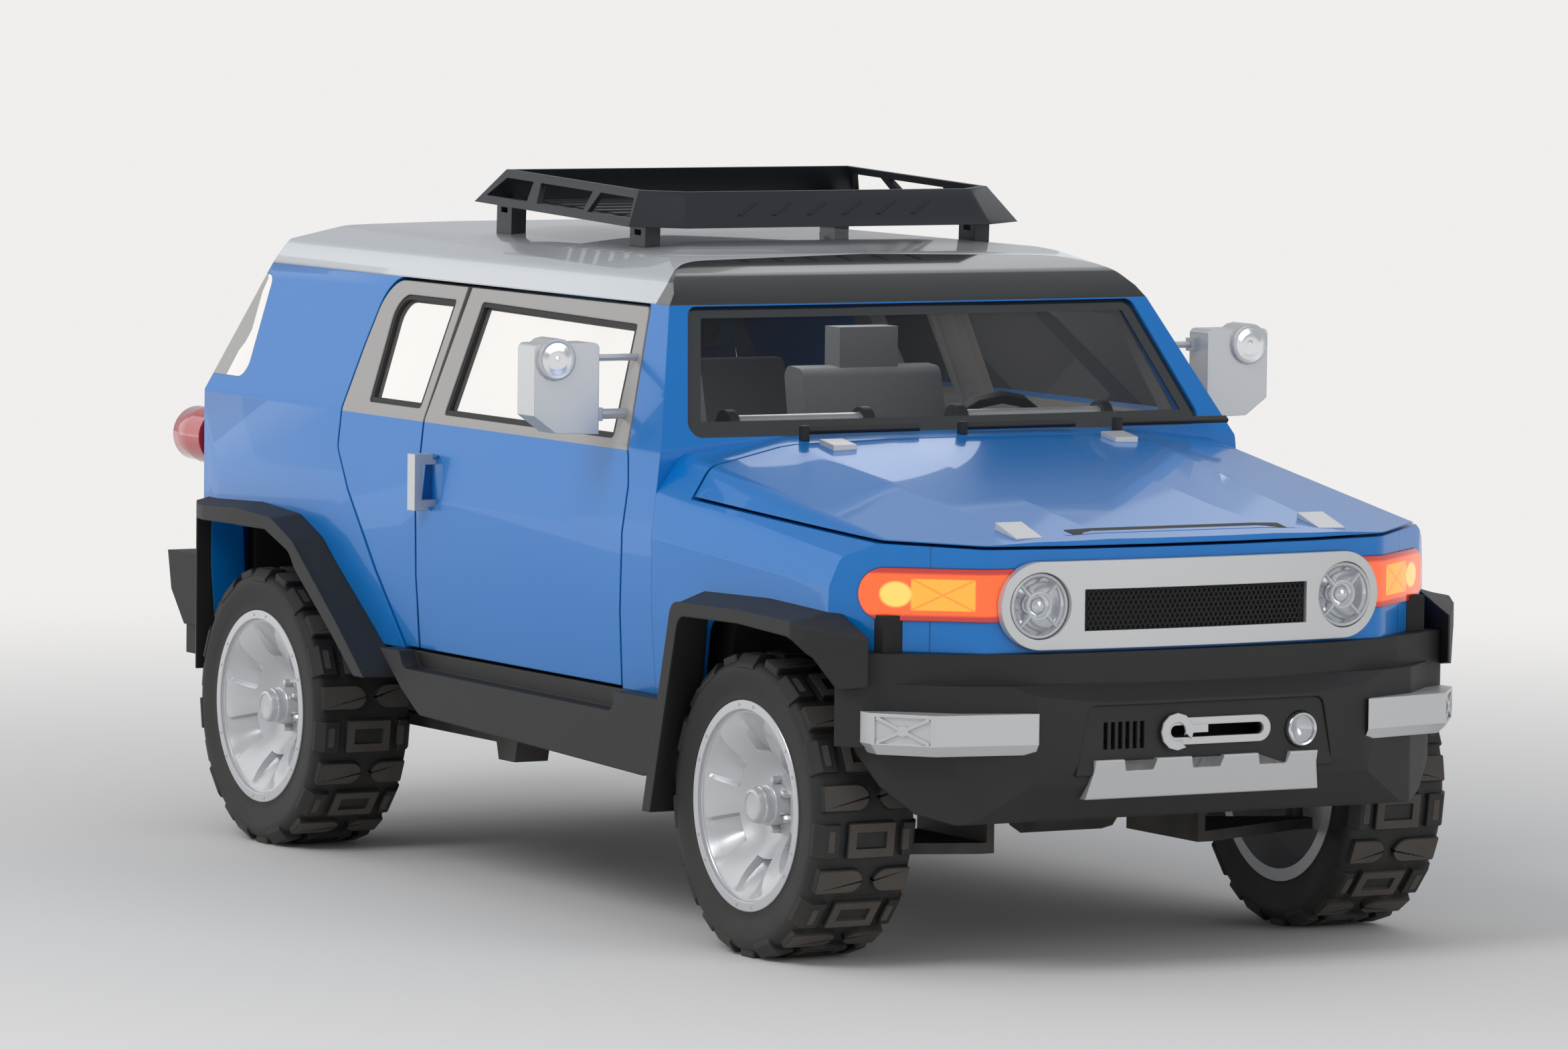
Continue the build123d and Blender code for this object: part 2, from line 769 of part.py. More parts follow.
# Wings with the cowl, and the nose panel between the turn lamps
with BuildPart() as nose_shell:
    add(nose_outer)
    add(nose_inner, mode=Mode.SUBTRACT)
    add(turn_zone(seat_gap), mode=Mode.SUBTRACT)
    add(mirrored(turn_zone(seat_gap)), mode=Mode.SUBTRACT)
with BuildPart() as hood_opening:
    add(above_seam(0))
    add(plan_prism(plan_outline(hood_margin_plan), 900, 1500), mode=Mode.INTERSECT)
with BuildPart() as front_wings:
    add(nose_shell.part)
    add(hood_opening.part, mode=Mode.SUBTRACT)
    add(
        block(cowl_x + seat_gap, nose_split_x, -1100, 1100, sill_z, cowl_z + 100),
        mode=Mode.INTERSECT,
    )
    add(front_wheel_house, mode=Mode.SUBTRACT)
    add(mirrored(front_wheel_house), mode=Mode.SUBTRACT)
    add(
        block(nose_split_x - 112, nose_split_x + 100, -1100, 1100, sill_z - 20, nose_bottom_z),
        mode=Mode.SUBTRACT,
    )
write_piece(front_wings.part, "front_wings")
with BuildPart() as nose_panel:
    add(nose_shell.part)
    add(hood_opening.part, mode=Mode.SUBTRACT)
    add(
        block(nose_split_x + seat_gap, front_end_x + 100, -1100, 1100, nose_bottom_z, cowl_z),
        mode=Mode.INTERSECT,
    )
    add(grille_slot.part, mode=Mode.SUBTRACT)
write_piece(nose_panel.part, "nose_panel")

# Grille surround: a stadium-shaped plate, bowed in plan, around the mesh and two round lamps
grille_front_x = nose_x + 6
grille_bow = 34
grille_depth = 44
mesh_half_width = 322
mesh_low_z = 842
mesh_high_z = 944
mesh_mid_z = (mesh_low_z + mesh_high_z) / 2


def bowed_band(front_x, depth, half_width):
    # Plan band between two arcs that are bowed forward in the middle.
    side_x = front_x - grille_bow
    with BuildPart(mode=Mode.PRIVATE) as band:
        with BuildSketch(Plane.XY.offset(700)):
            with BuildLine():
                ThreePointArc((side_x, -half_width), (front_x, 0), (side_x, half_width))
                Line((side_x, half_width), (side_x - depth, half_width))
                ThreePointArc(
                    (side_x - depth, half_width),
                    (front_x - depth, 0),
                    (side_x - depth, -half_width),
                )
                Line((side_x - depth, -half_width), (side_x, -half_width))
            make_face()
        extrude(amount=400)
    return band.part


with BuildPart() as grille_surround:
    add(bowed_band(grille_front_x, grille_depth, grille_half_width))
    with BuildSketch(Plane.YZ.offset(nose_x - 190)):
        with Locations((0, grille_centre_z)):
            SlotOverall(2 * grille_half_width - 1, 2 * grille_half_height)
        with Locations((-lamp_y, grille_centre_z), (lamp_y, grille_centre_z)):
            Circle(lamp_radius + seat_gap, mode=Mode.SUBTRACT)
        with Locations((0, mesh_mid_z)):
            Rectangle(2 * mesh_half_width, mesh_high_z - mesh_low_z, mode=Mode.SUBTRACT)
    extrude(amount=300, mode=Mode.INTERSECT)
write_piece(grille_surround.part, "grille_surround")

with BuildPart() as grille_mesh:
    add(bowed_band(grille_front_x - 14, 8, grille_half_width))
    with BuildSketch(Plane.YZ.offset(nose_x - 190)):
        with Locations((0, mesh_mid_z)):
            Rectangle(
                2 * (mesh_half_width - seat_gap), mesh_high_z - mesh_low_z - 2 * seat_gap
            )
    extrude(amount=300, mode=Mode.INTERSECT)
write_piece(grille_mesh.part, "grille_mesh")

# Front bumper: upper band around the nose, and a fuller lower band that carries the corners
bumper_top_z = nose_bottom_z - seat_gap
bumper_step_z = 668
bumper_low_z = 392
band_x = nose_x + 8
lower_x = front_end_x - 2
upper_plan = [
    (nose_x - 250, body_half_width + 2, 0),
    (nose_x - 190, body_half_width - 32, 60),
    (nose_x - 75, body_half_width - 242, 90),
    (band_x - 8, 430, 0),
    (band_x, 200, 0),
]
lower_plan = [
    (nose_x - 250, body_half_width - 52, 0),
    (nose_x - 170, body_half_width - 82, 0),
    (nose_x - 40, body_half_width - 222, 60),
    (lower_x - 24, 476, 60),
    (lower_x - 4, 300, 0),
    (lower_x, 60, 0),
]
bumper_inner_plan = [
    (nose_x - 250, body_half_width - 102, 0),
    (nose_x - 185, body_half_width - 152, 0),
    (nose_x - 85, body_half_width - 312, 0),
    (band_x - 64, 400, 0),
]
lower_profile = [
    (nose_x - 260, sill_z - 40, 0),
    (nose_x - 110, bumper_low_z + 8, 0),
    (nose_x - 30, bumper_low_z - 20, 20),
    (lower_x - 28, bumper_low_z + 78, 20),
    (lower_x, sill_z - 40, 20),
    (lower_x, bumper_step_z, 20),
    (band_x - 4, bumper_step_z + 48, 0),
    (nose_x - 260, bumper_step_z + 48, 0),
]
# Sunk panel in the middle of the lower band, wider at its foot
panel_foot_z = 492
panel_head_z = 664
panel_depth = 14
panel_thickness = 14


def panel_face(margin, x):
    # Rear-view outline of the sunk panel, drawn in by a margin.
    return outline(
        Plane.YZ.offset(x),
        [
            (-372 + margin, panel_foot_z + margin, 0),
            (372 - margin, panel_foot_z + margin, 0),
            (338 - margin, panel_head_z - margin, 26),
            (-338 + margin, panel_head_z - margin, 26),
        ],
    )


with BuildPart() as lower_band:
    add(side_prism(lower_profile, -body_half_width, body_half_width))
    add(plan_prism(plan_outline(lower_plan), 300, 900), mode=Mode.INTERSECT)
with BuildPart() as front_bumper:
    add(plan_prism(plan_outline(upper_plan), sill_z - 40, bumper_top_z))
    add(lower_band.part)
    add(plan_prism(plan_outline(bumper_inner_plan), 300, 900), mode=Mode.SUBTRACT)
    add(steered_tyre, mode=Mode.SUBTRACT)
    add(mirrored(steered_tyre), mode=Mode.SUBTRACT)
    extrude(panel_face(0, lower_x - 160), amount=200, mode=Mode.SUBTRACT)
write_piece(front_bumper.part, "front_bumper")

# Sunk panel with louvres to the right, a rope slot in the middle and a fog lamp to the left
winch_z = 592
winch_y = 28
panel_x = lower_x - panel_depth - panel_thickness
rope_slot_length = 270
rope_slot_height = 30
louvre_count = 6
louvre_pitch = 21
louvre_y = -236
fog_y = 276
fog_radius = 44
with BuildPart() as winch_panel:
    extrude(panel_face(seat_gap, panel_x), amount=panel_thickness)
    with BuildSketch(Plane.YZ.offset(panel_x - 5)):
        with Locations((winch_y, winch_z)):
            SlotOverall(rope_slot_length, rope_slot_height)
        with Locations((louvre_y, winch_z - 4)):
            with GridLocations(louvre_pitch, 1, louvre_count, 1):
                Rectangle(louvre_pitch - 9, 66)
        with Locations((fog_y, winch_z - 8)):
            RegularPolygon(fog_radius + seat_gap, 16, major_radius=False)
    extrude(amount=panel_thickness + 10, mode=Mode.SUBTRACT)
write_piece(winch_panel.part, "winch_panel")

# Head lamps with a cross and a ring, and the fog lamp
lamp_front_x = grille_front_x - 26
lamp_depth = 70
lamp_sides = 24
with BuildPart() as front_lamps:
    for side in (-1, 1):
        with BuildSketch(Plane.YZ.offset(lamp_front_x - lamp_depth)):
            with Locations((side * lamp_y, grille_centre_z)):
                RegularPolygon(lamp_radius, lamp_sides)
        extrude(amount=lamp_depth)
        with BuildSketch(Plane.YZ.offset(lamp_front_x - 1)):
            with Locations((side * lamp_y, grille_centre_z)):
                Rectangle(2 * lamp_radius - 22, 7)
                Rectangle(7, 2 * lamp_radius - 22)
                RegularPolygon(24, 12)
        extrude(amount=6)
    with BuildSketch(Plane.YZ.offset(panel_x)):
        with Locations((fog_y, winch_z - 8)):
            RegularPolygon(fog_radius, 16, major_radius=False)
    extrude(amount=panel_thickness + 6)
write_piece(front_lamps.part, "front_lamps")

# Silver corners of the front bumper, with a braced end face
corner_low_z = 548
corner_high_z = 650
corner_plan = [
    (lower_x - 14, 478, 0),
    (nose_x - 8, body_half_width - 138, 0),
    (nose_x - 134, body_half_width - 34, 0),
    (nose_x - 190, body_half_width - 36, 0),
    (nose_x - 80, 600, 0),
]
corner_inset_plan = [
    (lower_x - 30, 478, 0),
    (nose_x - 24, body_half_width - 152, 0),
    (nose_x - 138, body_half_width - 54, 0),
    (nose_x - 190, body_half_width - 58, 0),
    (nose_x - 80, 600, 0),
]
end_run = (-126, 104)
end_length = math.hypot(*end_run)
end_plane = Plane(
    origin=(corner_plan[1][0] - 63, corner_plan[1][1] + 52, (corner_low_z + corner_high_z) / 2 + 10),
    x_dir=(end_run[0] / end_length, end_run[1] / end_length, 0),
    z_dir=(end_run[1] / end_length, -end_run[0] / end_length, 0),
)
brace_width = 9
pocket_half_length = end_length / 2 - 10
pocket_half_height = 32
brace_angle = math.degrees(math.atan2(pocket_half_height, pocket_half_length))
with BuildPart() as bumper_corners:
    loft(
        [
            outline(Plane.XY.offset(corner_low_z), corner_inset_plan),
            outline(Plane.XY.offset(corner_low_z + 26), corner_plan),
        ],
        ruled=True,
    )
    add(plan_prism(corner_plan, corner_low_z + 26, corner_high_z))
    add(front_bumper.part, mode=Mode.SUBTRACT)
    with BuildSketch(end_plane):
        Rectangle(2 * pocket_half_length, 2 * pocket_half_height)
        with Locations((0, 0, 0)):
            Rectangle(2.1 * pocket_half_length, brace_width, rotation=brace_angle, mode=Mode.SUBTRACT)
            Rectangle(2.1 * pocket_half_length, brace_width, rotation=-brace_angle, mode=Mode.SUBTRACT)
            RegularPolygon(15, 8, mode=Mode.SUBTRACT)
    extrude(amount=-6, mode=Mode.SUBTRACT)
with BuildPart() as corner_pair:
    add(bumper_corners.part.solids().sort_by(SortBy.VOLUME)[-1])
    mirror(about=Plane.XZ)

# Skid plate with four raised steps along its upper edge
skid_half_width = 324
skid_foot = 20
with BuildPart() as skid_plate:
    with BuildSketch(side_plane(-skid_half_width - skid_foot)):
        with BuildLine():
            Polyline(
                (lower_x - 46, panel_foot_z - 20),
                (lower_x - 26, panel_foot_z + 24),
                (lower_x - 40, panel_foot_z + 26),
                (lower_x - 92, bumper_low_z + 26),
                (lower_x - 168, bumper_low_z - 2),
                (lower_x - 168, bumper_low_z - 12),
                (lower_x - 86, bumper_low_z + 8),
                close=True,
            )
        make_face()
    extrude(amount=-2 * (skid_half_width + skid_foot))
    add(front_bumper.part, mode=Mode.SUBTRACT)
    add(winch_panel.part, mode=Mode.SUBTRACT)
    for notch_y in (-194, 0, 194):
        add(
            block(
                lower_x - 60,
                lower_x,
                notch_y - 39,
                notch_y + 39,
                panel_foot_z + 12,
                panel_foot_z + 60,
            ),
            mode=Mode.SUBTRACT,
        )

# Slot frame and hook on the sunk panel, silver like the corners
hook_y = winch_y - 118
with BuildPart() as winch_fittings:
    with BuildSketch(Plane.YZ.offset(panel_x + panel_thickness + seat_gap)):
        with Locations((winch_y, winch_z)):
            SlotOverall(rope_slot_length + 40, rope_slot_height + 36)
            SlotOverall(rope_slot_length, rope_slot_height, mode=Mode.SUBTRACT)
    extrude(amount=10)
    with BuildSketch(Plane.YZ.offset(panel_x + panel_thickness + seat_gap + 9)):
        with Locations((hook_y, winch_z)):
            RegularPolygon(46, 12)
            RegularPolygon(24, 12, mode=Mode.SUBTRACT)
        with Locations((hook_y + 30, winch_z - 26)):
            Rectangle(34, 26, rotation=-40, mode=Mode.SUBTRACT)
        with Locations((hook_y + 60, winch_z + 6)):
            Rectangle(56, 20)
    extrude(amount=6)
with BuildPart() as bumper_trim:
    add(corner_pair.part)
    add(skid_plate.part)
    add(winch_fittings.part)
write_piece(bumper_trim.part, "bumper_trim")

# Flares: they widen from the body to a flat lip, and run in towards the bumper at the front
flare_half_width = body_half_width + flare_reach
flare_root_y = body_half_width - 36
lip_z = axle_z + 495
front_lip = [
    (front_axle_x - 441, 322, 0),
    (front_axle_x - 303, lip_z - 10, 40),
    (front_axle_x + 32, lip_z - 4, 0),
    (front_axle_x + 297, lip_z - 11, 80),
    (front_axle_x + 455, lip_z - 62, 0),
    (front_axle_x + 470, lip_z - 160, 0),
    (front_axle_x + 410, lip_z - 172, 0),
    (front_axle_x + 358, lip_z - 96, 0),
    (front_axle_x + 290, lip_z - 50, 60),
    (front_axle_x + 32, lip_z - 38, 0),
    (front_axle_x - 266, lip_z - 44, 40),
    (front_axle_x - 401, 322, 0),
]
front_root = [
    (front_axle_x - 457, 322, 0),
    (front_axle_x - 318, lip_z + 22, 40),
    (front_axle_x + 32, lip_z + 30, 0),
    (front_axle_x + 320, lip_z + 16, 80),
    (front_axle_x + 470, lip_z - 42, 0),
    (front_axle_x + 480, lip_z - 160, 0),
    (front_axle_x + 410, lip_z - 172, 0),
    (front_axle_x + 358, lip_z - 96, 0),
    (front_axle_x + 290, lip_z - 50, 60),
    (front_axle_x + 32, lip_z - 38, 0),
    (front_axle_x - 266, lip_z - 44, 40),
    (front_axle_x - 401, 322, 0),
]
rear_lip = [
    (rear_leg_x - 46, 446, 0),
    (rear_leg_x - 46, lip_z + 30, 40),
    (rear_axle_x - 60, lip_z + 46, 0),
    (rear_axle_x + 155, lip_z + 34, 90),
    (rear_axle_x + 285, lip_z - 20, 90),
    (rear_axle_x + 547, 656, 0),
    (rear_axle_x + 715, 520, 0),
    (rear_axle_x + 655, 520, 0),
    (rear_axle_x + 510, 630, 0),
    (rear_axle_x + 245, lip_z - 54, 90),
    (rear_axle_x + 145, lip_z - 12, 90),
    (rear_axle_x - 60, lip_z, 0),
    (rear_leg_x, lip_z - 4, 30),
    (rear_leg_x, 446, 0),
]
rear_root = [
    (rear_leg_x - 62, 446, 0),
    (rear_leg_x - 62, lip_z + 52, 40),
    (rear_axle_x - 60, lip_z + 66, 0),
    (rear_axle_x + 175, lip_z + 48, 90),
    (rear_axle_x + 310, lip_z - 6, 90),
    (rear_axle_x + 572, 656, 0),
    (rear_axle_x + 740, 520, 0),
    (rear_axle_x + 655, 520, 0),
    (rear_axle_x + 510, 630, 0),
    (rear_axle_x + 245, lip_z - 54, 90),
    (rear_axle_x + 145, lip_z - 12, 90),
    (rear_axle_x - 60, lip_z, 0),
    (rear_leg_x, lip_z - 4, 30),
    (rear_leg_x, 446, 0),
]
lip_width = 14


def flare_solid(root, lip):
    # Flare from its root on the body to its lip, with a narrow flat rim.
    with BuildPart(mode=Mode.PRIVATE) as flare:
        root_face = outline(side_plane(flare_root_y), root)
        lip_face = outline(side_plane(flare_half_width - lip_width), lip)
        loft([root_face, lip_face], ruled=True)
        add(side_prism(lip, flare_half_width - lip_width, flare_half_width))
    return flare.part


flare_run_in = [
    (front_axle_x - 600, flare_half_width + 20, 0),
    (front_axle_x + 240, flare_half_width + 20, 0),
    (front_axle_x + 345, flare_half_width - 18, 0),
    (front_axle_x + 470, body_half_width - 30, 0),
    (front_axle_x + 490, flare_root_y - 80, 0),
    (front_axle_x - 600, flare_root_y - 80, 0),
]
rear_run_in = [
    (rear_axle_x - 180, flare_half_width + 20, 0),
    (rear_axle_x - 330, flare_half_width - 18, 0),
    (rear_leg_x - 46, body_half_width + 16, 0),
    (rear_leg_x - 66, body_half_width - 10, 0),
    (rear_leg_x - 66, flare_root_y - 80, 0),
    (rear_axle_x + 900, flare_root_y - 80, 0),
    (rear_axle_x + 900, flare_half_width + 20, 0),
]
with BuildPart() as rear_flare:
    add(flare_solid(rear_root, rear_lip))
    add(plan_prism(rear_run_in, 200, 1100), mode=Mode.INTERSECT)
with BuildPart() as fender_flares:
    add(flare_solid(front_root, front_lip))
    add(plan_prism(flare_run_in, 200, 1100), mode=Mode.INTERSECT)
    add(steered_tyre, mode=Mode.SUBTRACT)
    add(rear_flare.part)
    add(rear_wheel_house, mode=Mode.SUBTRACT)
    mirror(about=Plane.XZ)
    add(cabin_outer.part, mode=Mode.SUBTRACT)
    add(nose_outer, mode=Mode.SUBTRACT)
    add(front_bumper.part, mode=Mode.SUBTRACT)

# Rockers with the step recess
rocker_low_z = 400
rocker_top_z = sill_z - seat_gap
rocker_half_width = body_half_width + 36
rocker_profile = [
    (rear_axle_x + 715, rocker_top_z, 0),
    (rear_axle_x + 845, rocker_low_z + 100, 40),
    (rear_axle_x + 945, rocker_low_z + 40, 30),
    (front_axle_x - 515, rocker_low_z, 30),
    (front_axle_x - 447, rocker_low_z + 40, 0),
    (front_axle_x - 415, rocker_top_z, 0),
]
step_recess = [
    (rear_axle_x + 755, sill_z + 100, 0),
    (rear_axle_x + 855, sill_z - 44, 30),
    (front_axle_x - 680, sill_z - 52, 30),
    (front_axle_x - 680, sill_z + 100, 0),
]
with BuildPart() as rockers:
    add(side_prism(rocker_profile, body_half_width - 112, rocker_half_width))
    add(side_prism(step_recess, rocker_half_width - 50, rocker_half_width + 80), mode=Mode.SUBTRACT)
    add(steered_tyre, mode=Mode.SUBTRACT)
    add(fender_flares.part, mode=Mode.SUBTRACT)
    mirror(about=Plane.XZ)
write_piece(fender_flares.part, "fender_flares")
write_piece(rockers.part, "rockers")

# Ladder frame: two rails, with crossmembers, outriggers and jacking pads as separate pieces
rail_y = 360
rail_width = 76
rail_low_z = 440
rail_high_z = 560
rail_inner_y = rail_y - rail_width / 2
rail_outer_y = rail_y + rail_width / 2
rail_rear_x = rear_x + 60
rail_front_x = nose_x - 180
member_half = 40
outrigger_low_z = rail_high_z - 70
outrigger_end_y = body_half_width - 112 - seat_gap
crossmember_xs = (
    rail_rear_x + 54,
    rear_axle_x + 375,
    rear_axle_x + 925,
    front_axle_x - 1115,
    front_axle_x - 555,
    rail_front_x - 60,
)
outrigger_xs = (rear_axle_x + 575, rear_axle_x + 875, front_axle_x - 915)
jacking_x = front_axle_x - 815
with BuildPart() as chassis_frame:
    for y in (-rail_y, rail_y):
        add(
            block(
                rail_rear_x,
                rail_front_x,
                y - rail_width / 2,
                y + rail_width / 2,
                rail_low_z,
                rail_high_z,
            )
        )
        add(block(jacking_x - 60, jacking_x + 60, y - 30, y + 30, rail_low_z - 6, rail_low_z))
    member_end_y = rail_inner_y - seat_gap
    for x in crossmember_xs:
        add(
            block(
                x - member_half,
                x + member_half,
                -member_end_y,
                member_end_y,
                rail_low_z + 20,
                rail_high_z - 20,
            )
        )
    for x in outrigger_xs:
        for side in (-1, 1):
            near_y = side * (rail_outer_y + seat_gap)
            far_y = side * outrigger_end_y
            add(
                block(
                    x - member_half,
                    x + member_half,
                    min(near_y, far_y),
                    max(near_y, far_y),
                    outrigger_low_z,
                    rail_high_z,
                )
            )
write_piece(chassis_frame.part, "chassis_frame")

# Floor in flat sections, wheel houses beside it and inner wings over the front wheels
floor_low_z = rail_high_z + seat_gap
floor_top_z = sill_z + 30
tub_half_width = body_half_width - door_depth - 46
house_rear_x = rear_axle_x - 440
house_front_x = rear_axle_x + 610
with BuildPart() as floor_middle:
    add(
        block(
            rear_x + end_wall + seat_gap,
            cowl_x - end_wall - seat_gap,
            -rear_house_y + 20,
            rear_house_y - 20,
            floor_low_z,
            floor_top_z,
        )
    )
with BuildPart() as floor_sides:
    side_low_y = rear_house_y - 20 + seat_gap
    add(
        block(
            house_front_x + seat_gap,
            cowl_x - end_wall - seat_gap,
            side_low_y,
            tub_half_width,
            floor_low_z,
            floor_top_z,
        )
    )
    mirror(about=Plane.XZ)
with BuildPart() as rear_houses:
    add(block(house_rear_x, house_front_x, side_low_y, tub_half_width, floor_low_z, axle_z + 533))
    add(rear_wheel_house, mode=Mode.SUBTRACT)
    add(body_shell.part, mode=Mode.SUBTRACT)
with BuildPart() as front_houses:
    add(
        block(
            cowl_x + 20,
            nose_x - 180,
            arch_inner_y - 20,
            body_half_width - 92,
            rail_high_z + seat_gap,
            axle_z + 503,
        )
    )
    add(front_wheel_house, mode=Mode.SUBTRACT)
    add(steered_tyre, mode=Mode.SUBTRACT)
    for neighbour in (front_bumper, front_wings, turn_lamps, rockers, fender_flares):
        add(neighbour.part, mode=Mode.SUBTRACT)
with BuildPart() as inner_panels:
    add(floor_middle.part)
    add(floor_sides.part)
    for houses in (rear_houses, front_houses):
        for solid in houses.part.solids():
            if solid.volume > 50000:
                add(solid)
                add(mirrored(solid))
write_piece(inner_panels.part, "inner_panels")

with BuildPart() as engine_block:
    add(block(front_axle_x - 235, front_axle_x + 325, -230, 230, rail_high_z - 20, axle_z + 583))
    engine_mount_y = rail_inner_y - seat_gap
    mount_x = front_axle_x + 245
    add(
        block(
            mount_x - 40,
            mount_x + 40,
            -engine_mount_y,
            engine_mount_y,
            rail_high_z - 40,
            rail_high_z - 0.5,
        )
    )
write_piece(engine_block.part, "engine_block")

# Rear axle: faceted beam and centre housing with round spindles, its links and springs
axle_tube_radius = 42
spindle_end_y = wheel_face_y - 32
tube_flats = 8


def cross_plane(x, y, z):
    # Drawing plane across the Y axis, facing the vehicle's left.
    return Plane(origin=(x, y, z), x_dir=(1, 0, 0), z_dir=(0, 1, 0))


with BuildPart() as rear_axle:
    with BuildSketch(cross_plane(rear_axle_x, 0, axle_z)):
        RegularPolygon(axle_tube_radius, tube_flats, major_radius=False, rotation=180 / tube_flats)
    extrude(amount=wheel_centre_y - 170, both=True)
    with BuildSketch(cross_plane(rear_axle_x, 0, axle_z)):
        Circle(spindle_radius)
    extrude(amount=spindle_end_y, both=True)
    with BuildSketch(Plane(origin=(rear_axle_x, 0, axle_z), x_dir=(1, 0, 0), z_dir=(0, 0, 1))):
        with BuildLine():
            Polyline((0, -140), (70, -140), (128, -70), (128, 70), (70, 140), (0, 140), close=True)
        make_face()
    revolve(axis=Axis((rear_axle_x, 0, axle_z), (0, 1, 0)))

link_y = 560
link_half = 16
link_front_x = rear_axle_x + 875
link_z = 352
spring_y = 470
spring_radius = 52
link_end_x = rear_axle_x + axle_tube_radius + seat_gap
bracket_top_z = outrigger_low_z - seat_gap
link_bracket = [
    (link_front_x - 96, bracket_top_z, 0),
    (link_front_x - 40, 300, 0),
    (link_front_x + 50, 300, 0),
    (link_front_x + 100, bracket_top_z, 0),
]
with BuildPart() as rear_suspension:
    add(
        block(
            link_end_x,
            link_front_x,
            link_y - link_half,
            link_y + link_half,
            link_z - link_half,
            link_z + link_half,
        )
    )
    add(side_prism(link_bracket, link_y - 40, link_y + 60))
    spring_low_z = axle_z + axle_tube_radius + seat_gap
    with BuildSketch(Plane.XY.offset(spring_low_z)):
        with Locations((rear_axle_x, spring_y)):
            RegularPolygon(spring_radius, 12)
    extrude(amount=floor_low_z - seat_gap - spring_low_z)
    mirror(about=Plane.XZ)
write_piece(rear_axle.part, "rear_axle")
write_piece(rear_suspension.part, "rear_suspension")

# Front suspension: differential with half shafts, upper and lower arms
lower_arm_z = 262
upper_arm_z = 520
arm_half = 14
arm_root_y = rail_inner_y - 22
shaft_radius = 22
with BuildPart() as front_axle:
    with BuildSketch(cross_plane(front_axle_x, 0, axle_z)):
        RegularPolygon(shaft_radius, tube_flats)
    extrude(amount=kingpin_y - 60, both=True)
    with BuildSketch(cross_plane(front_axle_x, -120, axle_z)):
        RegularPolygon(104, 12)
    extrude(amount=240)
    add(
        block(
            front_axle_x - 60,
            front_axle_x + 60,
            -arm_root_y + seat_gap,
            arm_root_y - seat_gap,
            axle_z - 40,
            axle_z + 40,
        )
    )
write_piece(front_axle.part, "front_axle")

with BuildPart() as front_suspension:
    for arm_z, reach in ((lower_arm_z, 170), (upper_arm_z, 130)):
        arm_plan = [
            (front_axle_x - reach, arm_root_y, 0),
            (front_axle_x - reach, arm_root_y + 40, 0),
            (front_axle_x - 34, kingpin_y - 20, 0),
            (front_axle_x - 34, kingpin_y + 34, 0),
            (front_axle_x + 34, kingpin_y + 34, 0),
            (front_axle_x + 34, kingpin_y - 20, 0),
            (front_axle_x + reach, arm_root_y + 40, 0),
            (front_axle_x + reach, arm_root_y, 0),
        ]
        add(plan_prism(arm_plan, arm_z - arm_half, arm_z + arm_half))
    add(
        block(
            front_axle_x - 170,
            front_axle_x + 170,
            arm_root_y,
            rail_inner_y - seat_gap,
            lower_arm_z - arm_half,
            upper_arm_z + arm_half,
        )
    )
    add(chassis_frame.part, mode=Mode.SUBTRACT)
    shaft_room = shaft_radius + 8
    shaft_hole = block(
        front_axle_x - shaft_room,
        front_axle_x + shaft_room,
        arm_root_y - 1,
        rail_inner_y + 1,
        axle_z - shaft_room,
        axle_z + shaft_room,
    )
    add(shaft_hole, mode=Mode.SUBTRACT)
    mirror(about=Plane.XZ)
write_piece(front_suspension.part, "front_suspension")

# Steering knuckle: upright between the arms with the wheel spindle
knuckle_gap = 0.4
knuckle_low_z = lower_arm_z + arm_half + knuckle_gap
knuckle_high_z = upper_arm_z - arm_half - knuckle_gap
with BuildPart() as knuckle:
    with BuildSketch(Plane.XY.offset(knuckle_low_z)):
        with Locations((front_axle_x, kingpin_y)):
            Circle(22)
    extrude(amount=knuckle_high_z - knuckle_low_z)
    with BuildSketch(cross_plane(front_axle_x, kingpin_y - 26, axle_z)):
        RegularPolygon(58, 12)
    extrude(amount=60)
    with BuildSketch(cross_plane(front_axle_x, kingpin_y, axle_z)):
        Circle(spindle_radius)
    extrude(amount=spindle_end_y - kingpin_y)
write_pair(knuckle.part, "knuckle")

# Tyre and wheel: flats with mitred ends about the Y axis; eleven pitches of two lug rows each
tread_pitches = 11
flat_angle = 180 / tread_pitches
lug_height = 15
tread_half = 128
shoulder_drop = 26
bead_half = 126
carcass_radius = tyre_radius - lug_height
bar_row = [
    [(82, -42), (tread_half, -42), (tread_half, 42), (82, 42)],
    [(-75, -45), (58, -45), (58, 45), (-75, 45)],
    [(-tread_half, -42), (-100, -42), (-100, 42), (-tread_half, 42)],
]
pad_row = [
    [(tread_half, -36), (tread_half, 36), (-2, 24), (-2, -24)],
    [(-tread_half, -36), (-30, -24), (-30, 24), (-tread_half, 36)],
]
tyre_half = tyre_width / 2
tyre_section = [
    (rim_bead_radius + seat_gap, -bead_half),
    (carcass_radius - shoulder_drop, -tyre_half),
    (carcass_radius, -tread_half),
    (carcass_radius, tread_half),
    (carcass_radius - shoulder_drop, tyre_half),
    (rim_bead_radius + seat_gap, bead_half),
]
rim_half = 138
dish_y = 62
back_y = 26
centre_radius = 40
rim_section = [
    (centre_radius, back_y),
    (150, back_y),
    (222, back_y - 60),
    (228, -rim_half),
    (rim_radius, -rim_half),
    (rim_bead_radius, -bead_half - 1),
    (rim_bead_radius, bead_half + 1),
    (rim_radius, rim_half),
    (rim_radius - 25, rim_half),
    (96, dish_y),
    (centre_radius, dish_y),
]


